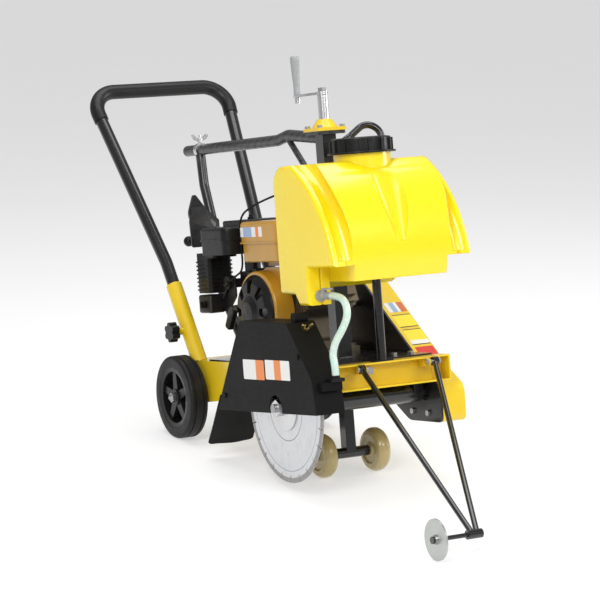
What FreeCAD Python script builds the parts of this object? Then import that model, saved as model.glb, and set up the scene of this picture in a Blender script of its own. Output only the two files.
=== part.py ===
import FreeCAD, Part
import math
import os
from FreeCAD import Vector

# Walk-behind concrete saw, 350 mm blade, horizontal-shaft petrol engine.
#
# The machine is modelled level in its own coordinates and then stood on its wheels:
#   x  across the machine, the blade is on the negative side
#   f  forwards from the rear axle
#   h  upwards from the rear axle
# All lengths are millimetres. A point is written (x, f, h) and becomes Vector(x, -f, h).
# The front leg is jacked down, which tips the whole machine nose up about the rear axle.

# ---------------------------------------------------------------- driving dimensions
NOSE_UP = 9.31                 # degrees of nose-up tilt with the front leg jacked down
RUN = 0.05                     # radial running clearance of turning and sliding parts

REAR_WHEEL_R = 103.0
REAR_WHEEL_IN = 162.0
REAR_WHEEL_OUT = 210.0
REAR_AXLE_R = 7.5

RAIL_OUT = 152.0               # side rails, C section
RAIL_IN = 122.0
RAIL_TOP = 88.0
RAIL_LOW = 28.0
RAIL_REAR = -22.0
RAIL_FRONT = 655.0
SHEET = 4.0
DECK_TOP = 92.0

CHANNEL_FRONT = 697.0          # front channel, open towards the front
CHANNEL_LEFT = -150.0
CHANNEL_RIGHT = 175.0

SHAFT_F = 581.6                # blade shaft
SHAFT_H = 0.0
SHAFT_R = 12.0
BLADE_R = 175.0
BLADE_X = -203.0
BLADE_HALF = 1.6
HOUSING_R = 25.0

GUARD_OUT = -230.0
GUARD_IN = -156.0
GUARD_SHEET = 2.5

CRANK_F = 245.0                # engine crankshaft
CRANK_H = 205.0
DRIVE_R = 46.0
DRIVEN_R = 48.0

COVER_IN = 165.0               # belt cover
COVER_OUT = 230.0
COVER_SHEET = 2.5

COLUMN_F = 498.0               # lifting column
COLUMN_HALF = 18.0
COLUMN_TOP = 618.0
LEG_HALF = 13.0
SCREW_R = 8.0
FRONT_WHEEL_R = 52.0
FRONT_WHEEL_X = 71.2
FRONT_WHEEL_HALF = 19.0
FRONT_AXLE_H = -133.32

HANDLE_R = 16.0
HANDLE_X = 141.0
SOCKET_R = 20.0
SOCKET_FOOT = (28.0, 79.0)     # (f, h) of the socket line at the rail
HANDLE_BEND = (-122.0, 330.0)  # (f, h) where the handle turns outwards
HANDLE_TOP = (-390.0, 781.0)   # (f, h) of the cross bar
HANDLE_TOP_X = 198.0

TANK_HALF = 182.0
TANK_REAR = 555.0
TANK_TOP = 550.0
TANK_ARC = (490.0, 257.0, 333.0)   # centre (f, h) and radius of the tank's front curve
NECK_F = 662.0
NECK_R = 66.0

POINTER_F = 704.0              # pointer hinge
POINTER_H = 76.0
POINTER_TIP = (1196.7, -253.9) # (f, h) of the pointer wheel's axle
POINTER_WHEEL_R = 44.7
POINTER_WHEEL_X = -198.0

RAIL_H = 613.0                 # top rail
RAIL_R = 14.0

# handle
LEAN = math.atan2(SOCKET_FOOT[0] - HANDLE_BEND[0], HANDLE_BEND[1] - SOCKET_FOOT[1])
SOCKET_LENGTH = 227.0
KNOB_UP = 95.0

# pointer ears on the channel and bars beside them
POINTER_EARS = (-57.0, 113.0)
POINTER_ARMS = (-66.0, 129.0)
HANDLE_INSET = 75.0

# lifting crank
CRANK_PIN_F = 375.0
LEG_TOP = 200.0

# belts
BELT_X = (188.0, 206.0)

# guard outline and its inside, as (f, h, corner radius)
GUARD_OUTLINE = [(432, 199, 8), (660, 197, 14), (762, 70, 10), (773, -9), (284, -16)]
GUARD_INSIDE = [(434, 196.5, 6), (658.5, 194.5, 12), (759.3, 69, 8), (770.5, -30), (280, -30)]
WING_X = -190.0
WING_FOOT = (675.0, 177.0)

# flap directions along and away from the guard edge, as (f, h)
FLAP_UP = (148 / 261.0, 215 / 261.0)
FLAP_OUT = (-0.8237, 0.567)

# belt cover outline, as (f, h, corner radius)
COVER_OUTLINE = [(175, 277, 60), (315, 277, 60), (612, 45, 0), (667, 12, 30), (667, -73, 14), (520, -73, 50),
                 (175, 130, 60)]

# tank
TANK_MAIN_ARC = (586.8, 353.9, 226.5)   # front curve between the two grooves
TANK_EAR = 150.0
TANK_LEFT_INNER = -124.0
TANK_RIGHT_INNER = 118.0
TANK_LOW = 282.0
TANK_WALL = 4.5
VALLEY_TOP = (779.0, 586.0, 70.0)
VALLEY_FOOT = (820.7, 366.0, 14.0)
GROOVE_R = 20.0
GROOVE_OUT = 8.0
NECK_TOP = 594.0
CAP_PLAY = 0.1

# tap
VALVE_X = -152.0
VALVE_H = 252.0
# Water hose: leaves the tap forwards, turns down and ends on the guard's fitting.
HOSE_R = 8.5
HOSE_ROUTE = [(VALVE_X, 744.2, VALVE_H), (VALVE_X, 770.0, VALVE_H), (VALVE_X, 802.0, 242.0),
              (-154.0, 816.0, 212.0), (-162.0, 802.0, 180.0), (-171.0, 780.0, 152.0), (-176.0, 770.0, 124.0),
              (-175.0, 776.0, 100.0), (-175.0, 776.0, 76.0)]
# Throttle cable: rises between the air cleaner and the fuel tank, then runs up to the column.
CABLE_R = 2.5
CABLE_ROUTE = [(-74.0, 84.0, 276.0), (-74.0, 122.0, 290.0), (-78.0, 178.0, 306.0), (-80.0, 177.5, 374.0),
               (-78.0, 178.0, 438.0), (-62.0, 220.0, 462.0), (-46.0, 300.0, 482.0), (-24.0, 388.0, 500.0),
               (-6.0, 479.2, 510.0)]

# starter cord mouth, as (x, f, h)
GRIP_MOUTH = (-92.0, CRANK_F - 97.0, CRANK_H + 9.0)

# stop switch and hand lever, as (x, f, h)
SWITCH = (-100.2, -4.0, 222.0)
HAND_LEVER = (-46.0, -112.3, 448.0)
LEVER_STUD = 5.45


# ---------------------------------------------------------------- geometry helpers
def at(x, f, h):
    return Vector(x, -f, h)


def block(x0, x1, f0, f1, h0, h1):
    return Part.makeBox(x1 - x0, f1 - f0, h1 - h0, at(x0, f1, h0))


def rod(start, end, radius):
    first = at(*start)
    run = at(*end) - first
    return Part.makeCylinder(radius, run.Length, first, run)


def pipe(start, end, outer, inner):
    return rod(start, end, outer).cut(rod(start, end, inner))


def cross_rod(x0, x1, f, h, radius):
    return rod((x0, f, h), (x1, f, h), radius)


def upright(x, f, h0, h1, radius):
    return rod((x, f, h0), (x, f, h1), radius)


def cone(start, end, r0, r1):
    first = at(*start)
    run = at(*end) - first
    return Part.makeCone(r0, r1, run.Length, first, run)


def hexagon(start, end, across_flats):
    first = at(*start)
    run = at(*end) - first
    corner_r = across_flats / math.sqrt(3.0)
    turn = FreeCAD.Rotation(Vector(0, 0, 1), run)
    corners = []
    for i in range(7):
        angle = math.radians(60 * i)
        corner = Vector(corner_r * math.cos(angle), corner_r * math.sin(angle), 0)
        corners.append(first + turn.multVec(corner))
    return Part.Face(Part.makePolygon(corners)).extrude(run)


def joined(shapes):
    whole = shapes[0]
    if len(shapes) > 1:
        whole = shapes[0].fuse(shapes[1:])
    return whole.removeSplitter()


def group(shapes):
    return Part.makeCompound(shapes)


def rounded_wire(points):
    """Closed outline through Vector corners, each rounded to its own radius."""
    edges = []
    starts = []
    ends = []
    count = len(points)
    for i in range(count):
        corner, radius = points[i]
        back = (points[i - 1][0] - corner).normalize()
        ahead = (points[(i + 1) % count][0] - corner).normalize()
        if radius <= 0:
            starts.append(corner)
            ends.append(corner)
            continue
        half = back.getAngle(ahead) / 2.0
        reach = radius / math.tan(half)
        middle = corner + (back + ahead).normalize() * (radius / math.sin(half))
        start = corner + back * reach
        end = corner + ahead * reach
        crown = middle + (corner - middle).normalize() * radius
        edges.append((i, Part.Arc(start, crown, end).toShape()))
        starts.append(start)
        ends.append(end)
    arcs = dict(edges)
    outline = []
    for i in range(count):
        if i in arcs:
            outline.append(arcs[i])
        following = starts[(i + 1) % count]
        if (following - ends[i]).Length > 1e-6:
            outline.append(Part.LineSegment(ends[i], following).toShape())
    return Part.Wire(outline)


def corners(points, place):
    """Corner list from (u, v) or (u, v, radius) with a function that places (u, v)."""
    result = []
    for point in points:
        radius = point[2] if len(point) > 2 else 0.0
        result.append((place(point[0], point[1]), radius))
    return result


def side_plate(points, x0, x1):
    """Outline in (f, h), from x0 to x1."""
    wire = rounded_wire(corners(points, lambda f, h: at(x0, f, h)))
    return Part.Face(wire).extrude(Vector(x1 - x0, 0, 0))


def cross_plate(points, f0, f1):
    """Outline in (x, h), from f0 to f1."""
    wire = rounded_wire(corners(points, lambda x, h: at(x, f0, h)))
    return Part.Face(wire).extrude(Vector(0, f0 - f1, 0))


def flat_plate(points, h0, h1):
    """Outline in (x, f), from h0 to h1."""
    wire = rounded_wire(corners(points, lambda x, f: at(x, f, h0)))
    return Part.Face(wire).extrude(Vector(0, 0, h1 - h0))


def turned(profile, f, h):
    """Closed (x, radius) profile turned about the line along x through (f, h)."""
    wire = rounded_wire(corners(profile, lambda x, r: at(x, f, h + r)))
    return Part.Face(wire).revolve(at(0, f, h), Vector(1, 0, 0), 360)


def turned_up(profile, x, f):
    """Closed (radius, h) profile turned about the upright through (x, f)."""
    wire = rounded_wire(corners(profile, lambda r, h: at(x + r, f, h)))
    return Part.Face(wire).revolve(at(x, f, 0), Vector(0, 0, 1), 360)


def route(points, radii):
    """Straight runs joined by tangent arcs through Vector points."""
    edges = []
    here = points[0]
    for i in range(1, len(points) - 1):
        corner = points[i]
        back = (points[i - 1] - corner).normalize()
        ahead = (points[i + 1] - corner).normalize()
        half = back.getAngle(ahead) / 2.0
        reach = radii[i - 1] / math.tan(half)
        middle = corner + (back + ahead).normalize() * (radii[i - 1] / math.sin(half))
        start = corner + back * reach
        end = corner + ahead * reach
        crown = middle + (corner - middle).normalize() * radii[i - 1]
        edges.append(Part.LineSegment(here, start).toShape())
        edges.append(Part.Arc(start, crown, end).toShape())
        here = end
    edges.append(Part.LineSegment(here, points[-1]).toShape())
    return Part.Wire(edges)


def swept(path, radius):
    edge = path.OrderedEdges[0]
    start = edge.valueAt(edge.FirstParameter)
    heading = edge.tangentAt(edge.FirstParameter)
    ring = Part.Wire(Part.Circle(start, heading, radius).toShape())
    return path.makePipeShell([ring], True, True)


def bent_rod(points, bend, radius):
    places = [at(*point) for point in points]
    return swept(route(places, [bend] * (len(points) - 2)), radius)


def mirrored(shape):
    return shape.mirror(Vector(0, 0, 0), Vector(1, 0, 0))


def ring_of(shape, count, centre, axis):
    copies = []
    for i in range(count):
        copy = shape.copy()
        copy.rotate(centre, axis, 360.0 * i / count)
        copies.append(copy)
    return copies


def rounded_edges(shape, radius, chosen):
    edges = [edge for edge in shape.Edges if chosen(edge)]
    return shape.makeFillet(radius, edges)


def bolt(start, end, across_flats, shank_r, shank):
    """Hexagon head from start to end with a shank of the given length behind start."""
    head = hexagon(start, end, across_flats)
    first = at(*start)
    back = (first - at(*end)).normalize()
    return head.fuse(Part.makeCylinder(shank_r, shank, first, back)).removeSplitter()


# ---------------------------------------------------------------- frame


def along_leg(distance):
    """(f, h) on the straight lower part of a handle leg, measured up from the rail."""
    return (SOCKET_FOOT[0] - distance * math.sin(LEAN), SOCKET_FOOT[1] + distance * math.cos(LEAN))


def side_rail():
    """Left rail: C section, deep rear end with the axle hole, and the handle socket."""
    outline = [(RAIL_REAR, RAIL_TOP), (RAIL_FRONT, RAIL_TOP), (RAIL_FRONT, RAIL_LOW), (250, RAIL_LOW, 40),
               (205, -4, 30), (60, -16, 60), (RAIL_REAR, -16, 14)]
    web = side_plate(outline, -RAIL_OUT, -RAIL_OUT + SHEET)
    top = block(-RAIL_OUT + SHEET, -RAIL_IN, RAIL_REAR, RAIL_FRONT, RAIL_TOP - SHEET, RAIL_TOP)
    low = block(-RAIL_OUT + SHEET, -RAIL_IN, 262, RAIL_FRONT, RAIL_LOW, RAIL_LOW + SHEET)
    rim = block(-RAIL_OUT + SHEET, -RAIL_IN, 80, 200, -6, -2)
    boss = cross_rod(-RAIL_OUT, -RAIL_OUT + 18, 0, 0, 15)
    foot = along_leg(0)
    mouth = along_leg(SOCKET_LENGTH)
    socket = rod((-HANDLE_X, foot[0], foot[1]), (-HANDLE_X, mouth[0], mouth[1]), SOCKET_R)
    below = block(-HANDLE_X - 30, -HANDLE_X + 30, -40, 140, 0, RAIL_TOP)
    socket = socket.cut(below)
    bore_from = along_leg(24)
    bore_to = along_leg(SOCKET_LENGTH + 5)
    bore = rod((-HANDLE_X, bore_from[0], bore_from[1]), (-HANDLE_X, bore_to[0], bore_to[1]),
               HANDLE_R + RUN)
    knob = along_leg(KNOB_UP)
    stud_hole = cross_rod(-HANDLE_X - 50, -HANDLE_X, knob[0], knob[1], 5.0 + RUN)
    nut_boss = cross_rod(-HANDLE_X - 34, -HANDLE_X - 10, knob[0], knob[1], 9.0)
    rail = joined([web, top, low, rim, boss, socket, nut_boss])
    axle_hole = cross_rod(-RAIL_OUT - 5, -RAIL_OUT + 30, 0, 0, REAR_AXLE_R + RUN)
    return rail.cut(bore).cut(stud_hole).cut(axle_hole)


def rear_bridge():
    """Folded plate that ties the rails together behind the engine."""
    floor = block(-RAIL_IN, RAIL_IN, -18, 92, RAIL_TOP - SHEET, RAIL_TOP)
    back = block(-RAIL_IN, RAIL_IN, -22, -18, 34, RAIL_TOP)
    return joined([floor, back])


def main_frame():
    """Welded frame: both side rails with their handle sockets, and the rear bridge."""
    rail = side_rail()
    return joined([rail, mirrored(rail), rear_bridge()])


def deck_plate():
    """Black engine deck on top of the rails, with the column's opening."""
    deck = flat_plate([(-RAIL_OUT, 96, 8), (RAIL_OUT, 96, 8), (RAIL_OUT, 654), (-RAIL_OUT, 654)],
                      RAIL_TOP, DECK_TOP)
    opening = block(-COLUMN_HALF, COLUMN_HALF, COLUMN_F - COLUMN_HALF, COLUMN_F + COLUMN_HALF, 80, 100)
    return deck.cut(opening)


def front_channel():
    """Yellow C channel across the front, with an end tab and the pointer's hinge ears."""
    web = block(CHANNEL_LEFT, CHANNEL_RIGHT, RAIL_FRONT, RAIL_FRONT + SHEET, RAIL_LOW, RAIL_TOP)
    top = block(CHANNEL_LEFT, CHANNEL_RIGHT, RAIL_FRONT + SHEET, CHANNEL_FRONT, RAIL_TOP - SHEET, RAIL_TOP)
    low = block(CHANNEL_LEFT, CHANNEL_RIGHT, RAIL_FRONT + SHEET, CHANNEL_FRONT, RAIL_LOW, RAIL_LOW + SHEET)
    tab = block(CHANNEL_RIGHT - SHEET, CHANNEL_RIGHT, RAIL_FRONT + SHEET, CHANNEL_FRONT, RAIL_LOW, RAIL_TOP)
    pieces = [web, top, low, tab]
    for x in POINTER_EARS:
        ear = side_plate([(RAIL_FRONT + SHEET, 62), (POINTER_F, POINTER_H - 9, 6),
                          (POINTER_F + 9, POINTER_H, 5), (POINTER_F, POINTER_H + 8, 4),
                          (RAIL_FRONT + SHEET, 84)], x - 2, x + 2)
        pieces.append(ear)
    channel = joined(pieces)
    for x in POINTER_EARS:
        channel = channel.cut(cross_rod(x - 5, x + 5, POINTER_F, POINTER_H, 5.0 + RUN))
    return channel


def rear_axle():
    """Fixed axle with shoulders inboard of each wheel and domed end nuts."""
    bar = cross_rod(-REAR_WHEEL_OUT - 6, REAR_WHEEL_OUT + 6, 0, 0, REAR_AXLE_R)
    pieces = [bar]
    for side in (-1, 1):
        pieces.append(cross_rod(side * (RAIL_OUT + 0.2), side * (REAR_WHEEL_IN - 2.2), 0, 0, 12))
        pieces.append(hexagon((side * (REAR_WHEEL_OUT - 3.8), 0, 0), (side * (REAR_WHEEL_OUT + 5), 0, 0), 22))
        pieces.append(cone((side * (REAR_WHEEL_OUT + 5), 0, 0), (side * (REAR_WHEEL_OUT + 11), 0, 0), 9, 4))
    return joined(pieces)


# ---------------------------------------------------------------- rear wheels
def rear_wheel():
    """Left wheel: hub, five tapering spokes and the rim ring."""
    inner = -REAR_WHEEL_IN
    outer = -REAR_WHEEL_OUT
    hub = cross_rod(inner + 2, outer + 4, 0, 0, 20)
    rim = turned([(inner - 3, 64), (outer + 3, 64), (outer + 1, 74), (inner - 1, 74)], 0, 0)
    spoke = side_plate([(-12, 14), (12, 14), (8, 67), (-8, 67)], inner - 8, outer + 8)
    pieces = [hub, rim] + ring_of(spoke, 5, Vector(0, 0, 0), Vector(1, 0, 0))
    wheel = joined(pieces)
    return wheel.cut(cross_rod(inner + 5, outer - 5, 0, 0, REAR_AXLE_R + RUN))


def rear_tyre():
    """Left tyre: rounded shoulders and two tread grooves."""
    inner = -REAR_WHEEL_IN
    outer = -REAR_WHEEL_OUT
    profile = [(inner, 78, 3), (inner - 1, 74), (outer + 1, 74), (outer, 78, 3),
               (outer, REAR_WHEEL_R, 8), (inner, REAR_WHEEL_R, 8)]
    tyre = turned(profile, 0, 0)
    for x in (inner - 13, outer + 13):
        tyre = tyre.cut(turned([(x - 1.5, 100.5), (x + 1.5, 100.5), (x + 1.5, 110), (x - 1.5, 110)], 0, 0))
    return tyre


# ---------------------------------------------------------------- handle
def handle_points(inset):
    """Handle centre line from the left leg's foot to the middle of the cross bar."""
    foot = along_leg(inset)
    return [(-HANDLE_X, foot[0], foot[1]), (-HANDLE_X, HANDLE_BEND[0], HANDLE_BEND[1]),
            (-HANDLE_TOP_X, HANDLE_TOP[0], HANDLE_TOP[1])]


def handle_tube():
    """Bent steel tube: two legs that turn outwards, and the cross bar."""
    left = [at(*point) for point in handle_points(HANDLE_INSET)]
    right = [Vector(-point.x, point.y, point.z) for point in reversed(left)]
    path = route(left + right, [120, 62, 62, 120])
    tube = swept(path, HANDLE_R)
    hollow = swept(path, HANDLE_R - 2.5)
    return tube.cut(hollow)


def handle_grip():
    """Foam sleeve over the cross bar and down both bends."""
    left = handle_points(HANDLE_INSET)
    bend = at(*left[1])
    top = at(*left[2])
    start = top + (bend - top).normalize() * 88.0
    right_top = Vector(-top.x, top.y, top.z)
    right_start = Vector(-start.x, start.y, start.z)
    path = route([start, top, right_top, right_start], [62, 62])
    sleeve = swept(path, HANDLE_R + 3.0)
    return sleeve.cut(swept(path, HANDLE_R))


def handle_knob():
    """Left clamping knob: six-lobed head on a stud that presses on the handle leg."""
    f, h = along_leg(KNOB_UP)
    face = -HANDLE_X - 34
    body = cross_rod(face - 3, face - 23, f, h, 19)
    neck = cross_rod(face - 0.3, face - 3, f, h, 12)
    lobe = cross_rod(face - 3, face - 23, f, h + 17, 8)
    lobes = ring_of(lobe, 6, at(0, f, h), Vector(1, 0, 0))
    stud = cross_rod(-HANDLE_X - HANDLE_R - 0.2, face - 5, f, h, 5.0)
    return joined([body, neck, stud] + lobes)


# ---------------------------------------------------------------- front leg and crank
def column_tube():
    """Square outer tube of the lifting column."""
    outer = block(-COLUMN_HALF, COLUMN_HALF, COLUMN_F - COLUMN_HALF, COLUMN_F + COLUMN_HALF, -20, COLUMN_TOP)
    hole = LEG_HALF + RUN
    inner = block(-hole, hole, COLUMN_F - hole, COLUMN_F + hole, -21, COLUMN_TOP + 1)
    return outer.cut(inner)


def column_flange():
    """Cast yellow head on the column: square foot and a tapering neck."""
    foot = flat_plate([(-39, COLUMN_F - 39, 6), (39, COLUMN_F - 39, 6), (39, COLUMN_F + 39, 6),
                       (-39, COLUMN_F + 39, 6)], 626, 634)
    neck = cone((0, COLUMN_F, 634), (0, COLUMN_F, 654), 31, 17)
    head = joined([foot, neck])
    head = head.cut(upright(0, COLUMN_F, 620, 660, SCREW_R + RUN))
    for x in (-30, 30):
        for f in (COLUMN_F - 30, COLUMN_F + 30):
            head = head.cut(upright(x, f, 620, 640, 4.0))
    return head


def screw_sleeve():
    """Bright tube above the head that carries the crank."""
    return pipe((0, COLUMN_F, 654), (0, COLUMN_F, 711), 12.5, SCREW_R + RUN)


def lift_screw():
    """Lead screw: runs down the column into the leg's nut, shown as its outside cylinder."""
    shaft = upright(0, COLUMN_F, 40, 724, SCREW_R)
    collar = upright(0, COLUMN_F, 600, 617.5, 12.0)
    nut = hexagon((0, COLUMN_F, 719.2), (0, COLUMN_F, 728), 19)
    return joined([shaft, collar, nut])


def crank_arm():
    """Flat crank arm with a hub on the screw and the grip's pin at its free end."""
    arm = flat_plate([(-9, CRANK_PIN_F - 9, 9), (9, CRANK_PIN_F - 9, 9), (11, COLUMN_F + 13, 10),
                      (-11, COLUMN_F + 13, 10)], 712, 718)
    hub = upright(0, COLUMN_F, 711.2, 719.2, 13)
    pin = upright(0, CRANK_PIN_F, 698, 806, 3.5)
    nub = upright(0, CRANK_PIN_F, 698, 712, 6.5)
    arm = joined([arm, hub, pin, nub])
    return arm.cut(upright(0, COLUMN_F, 700, 725, SCREW_R))


def crank_grip():
    """Tapered handle that spins on the crank's pin."""
    profile = [(3.5 + RUN, 718.4), (8, 718.4, 1), (8, 723), (7.5, 735), (11, 800, 3), (11, 811, 5),
               (0.0, 811), (0.0, 806.5), (3.5 + RUN, 806.5)]
    return turned_up(profile, 0, CRANK_PIN_F)


def front_leg():
    """Sliding inner tube with the lead-screw nut on top and the axle's cross tube below."""
    tube = block(-LEG_HALF, LEG_HALF, COLUMN_F - LEG_HALF, COLUMN_F + LEG_HALF, FRONT_AXLE_H, LEG_TOP)
    tube = tube.cut(upright(0, COLUMN_F, FRONT_AXLE_H + 20, LEG_TOP - 25, SCREW_R + 1.5))
    tube = tube.cut(upright(0, COLUMN_F, LEG_TOP - 30, LEG_TOP + 5, SCREW_R + RUN))
    cross = cross_rod(-50, 50, COLUMN_F, FRONT_AXLE_H, 12.5)
    leg = joined([tube, cross])
    return leg.cut(cross_rod(-60, 60, COLUMN_F, FRONT_AXLE_H, 6.0 + RUN))


def front_axle():
    """Axle bolt through the cross tube, a washer and a nut at each end."""
    reach = FRONT_WHEEL_X + FRONT_WHEEL_HALF
    pieces = [cross_rod(-reach - 10, reach + 10, COLUMN_F, FRONT_AXLE_H, 6.0)]
    for side in (-1, 1):
        pieces.append(cross_rod(side * 50.1, side * 51.8, COLUMN_F, FRONT_AXLE_H, 10))
        pieces.append(hexagon((side * (reach - 3), COLUMN_F, FRONT_AXLE_H),
                              (side * (reach + 6), COLUMN_F, FRONT_AXLE_H), 18))
    return joined(pieces)


def front_wheel():
    """Left front wheel: full, rounded tread with dished faces."""
    near = -FRONT_WHEEL_X + FRONT_WHEEL_HALF
    far = -FRONT_WHEEL_X - FRONT_WHEEL_HALF
    profile = [(near, 6.0 + RUN), (near, 16, 2), (near - 5, 19, 2), (near - 5, 30, 3), (near - 1, 34, 3),
               (near - 3, 46, 6), (near - 12, FRONT_WHEEL_R, 14), (far + 12, FRONT_WHEEL_R, 14),
               (far + 3, 46, 6), (far + 1, 34, 3), (far + 5, 30, 3), (far + 5, 6.0 + RUN)]
    return turned(profile, COLUMN_F, FRONT_AXLE_H)


# ---------------------------------------------------------------- pointer
def pointer_arm():
    """Two bars that run from the hinge to one tip, with the wheel's stub axle."""
    tip_f, tip_h = POINTER_TIP
    pieces = []
    for x, end_x in zip(POINTER_ARMS, (-108.0, -97.0)):
        pieces.append(rod((x, POINTER_F, POINTER_H), (end_x, tip_f, tip_h), 6.5))
        pieces.append(cross_rod(x - 6.5, x + 6.5, POINTER_F, POINTER_H, 10.5))
    pieces.append(cross_rod(-122, -86, tip_f, tip_h, 10))
    pieces.append(cross_rod(POINTER_WHEEL_X - 11, -122, tip_f, tip_h, 5))
    pieces.append(cross_rod(POINTER_WHEEL_X - 11, POINTER_WHEEL_X - 7.2, tip_f, tip_h, 8))
    pieces.append(cross_rod(POINTER_WHEEL_X + 7.2, POINTER_WHEEL_X + 11, tip_f, tip_h, 8))
    arm = joined(pieces)
    for x in POINTER_ARMS:
        arm = arm.cut(cross_rod(x - 9, x + 9, POINTER_F, POINTER_H, 5.0 + RUN))
    return arm


def pointer_wheel():
    """Thin guide wheel with a hub."""
    f, h = POINTER_TIP
    disc = cross_rod(POINTER_WHEEL_X - 2, POINTER_WHEEL_X + 2, f, h, POINTER_WHEEL_R)
    hub = cross_rod(POINTER_WHEEL_X - 7, POINTER_WHEEL_X + 7, f, h, 10.5)
    wheel = joined([disc, hub])
    return wheel.cut(cross_rod(POINTER_WHEEL_X - 9, POINTER_WHEEL_X + 9, f, h, 5.0 + RUN))


# ---------------------------------------------------------------- blade drive
def blade():
    """Segmented diamond blade: rim slots, drive-pin hole and a one-inch arbor."""
    disc = cross_rod(BLADE_X - BLADE_HALF, BLADE_X + BLADE_HALF, SHAFT_F, SHAFT_H, BLADE_R)
    disc = disc.cut(cross_rod(BLADE_X - 5, BLADE_X + 5, SHAFT_F, SHAFT_H, 12.7))
    slot = block(BLADE_X - 5, BLADE_X + 5, SHAFT_F - 1.2, SHAFT_F + 1.2, SHAFT_H + BLADE_R - 14,
                 SHAFT_H + BLADE_R + 5)
    keyhole = cross_rod(BLADE_X - 5, BLADE_X + 5, SHAFT_F, SHAFT_H + BLADE_R - 15, 3.2)
    cuts = ring_of(slot.fuse(keyhole), 24, at(0, SHAFT_F, SHAFT_H), Vector(1, 0, 0))
    return disc.cut(cuts)


def blade_shaft():
    """Shaft from the arbor nut to the driven pulley, with its shoulder behind the blade."""
    pieces = [cross_rod(-195, 222, SHAFT_F, SHAFT_H, SHAFT_R),
              cross_rod(-214, -192, SHAFT_F, SHAFT_H, 12.7),
              cross_rod(-238, -213, SHAFT_F, SHAFT_H, 10)]
    return joined(pieces)


def blade_flanges():
    """Inner and outer clamping flanges and the arbor nut, three separate pieces."""
    face = BLADE_X + BLADE_HALF
    inner = turned([(face, 12.7), (face, 55, 1), (face + 4, 55, 1), (face + 8, 30, 3), (face + 9, 12.7)],
                   SHAFT_F, SHAFT_H)
    back = BLADE_X - BLADE_HALF
    outer = turned([(back, 12.7), (back, 55, 1), (back - 4, 55, 1), (back - 8, 30, 3), (back - 9.4, 12.7)],
                   SHAFT_F, SHAFT_H)
    nut = hexagon((-214.1, SHAFT_F, SHAFT_H), (-230, SHAFT_F, SHAFT_H), 34)
    nut = nut.cut(cross_rod(-240, -200, SHAFT_F, SHAFT_H, 10))
    return group([inner, outer, nut])


def pulley(f, h, radius, bore, x0, x1):
    """Two-groove belt pulley."""
    body = cross_rod(x0, x1, f, h, radius)
    for x in BELT_X:
        groove = turned([(x - 6.5, radius + 1), (x - 4, radius - 10),
                         (x + 4, radius - 10), (x + 6.5, radius + 1)],
                        f, h)
        body = body.cut(groove)
    return body.cut(cross_rod(x0 - 1, x1 + 1, f, h, bore))


def driven_pulley():
    return pulley(SHAFT_F, SHAFT_H, DRIVEN_R, SHAFT_R, 178, 216)


def drive_pulley():
    return pulley(CRANK_F, CRANK_H, DRIVE_R, 12.5, 178, 216)


def crankshaft():
    """Engine crankshaft: main journal, throw, and the flywheel behind the recoil starter."""
    shaft = cross_rod(-60, 222, CRANK_F, CRANK_H, 12.5)
    wheel = cross_rod(-58, -40, CRANK_F, CRANK_H, 80)
    return joined([shaft, wheel])


def belt(x):
    """Flat-sided belt loop round both pulleys, resting just above the groove floors."""
    gap = 0.1
    run = at(x, SHAFT_F, SHAFT_H) - at(x, CRANK_F, CRANK_H)
    span = run.Length
    along = run.normalize()
    up = Vector(1, 0, 0).cross(along)
    if up.z < 0:
        up = up * -1.0

    def loop(r0, r1):
        tilt = math.asin((r0 - r1) / span)
        points = []
        for sign in (1, -1):
            lift = up * (sign * math.cos(tilt)) + along * math.sin(tilt)
            points.append((at(x, CRANK_F, CRANK_H) + lift * r0, at(x, SHAFT_F, SHAFT_H) + lift * r1))
        rear = at(x, CRANK_F, CRANK_H) - along * r0
        front = at(x, SHAFT_F, SHAFT_H) + along * r1
        edges = [Part.LineSegment(points[0][0], points[0][1]).toShape(),
                 Part.Arc(points[0][1], front, points[1][1]).toShape(),
                 Part.LineSegment(points[1][1], points[1][0]).toShape(),
                 Part.Arc(points[1][0], rear, points[0][0]).toShape()]
        return Part.Face(Part.Wire(edges))

    outer = loop(DRIVE_R - 3, DRIVEN_R - 3)
    inner = loop(DRIVE_R - 10 + gap, DRIVEN_R - 10 + gap)
    ring = outer.cut(inner)
    ring.translate(Vector(-3.8, 0, 0))
    return ring.extrude(Vector(7.6, 0, 0))


def drive_belts():
    return group([belt(x) for x in BELT_X])


def shaft_housing():
    """Black bearing tube under the rails with a saddle at each end."""
    tube = cross_rod(-150, 152, SHAFT_F, SHAFT_H, HOUSING_R)
    pieces = [tube]
    for side in (-1, 1):
        x0, x1 = sorted((side * 124.0, side * 150.0))
        pieces.append(block(x0, x1, SHAFT_F - 28, SHAFT_F + 28, 0, RAIL_LOW))
    housing = joined(pieces)
    housing = housing.cut(cross_rod(-160, 160, SHAFT_F, SHAFT_H, SHAFT_R + 3))
    for x0, x1 in ((-151.0, -134.0), (134.0, 153.0)):
        housing = housing.cut(cross_rod(x0, x1, SHAFT_F, SHAFT_H, 19))
    return group([housing] + shaft_bearings())


def shaft_bearings():
    """Ball bearings at both ends of the housing, as plain rings."""
    rings = []
    for x0, x1 in ((-150.0, -135.0), (134.0, 149.0)):
        rings.append(pipe((x0, SHAFT_F, SHAFT_H), (x1, SHAFT_F, SHAFT_H), 19, SHAFT_R + RUN))
    return rings


# ---------------------------------------------------------------- guards


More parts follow.
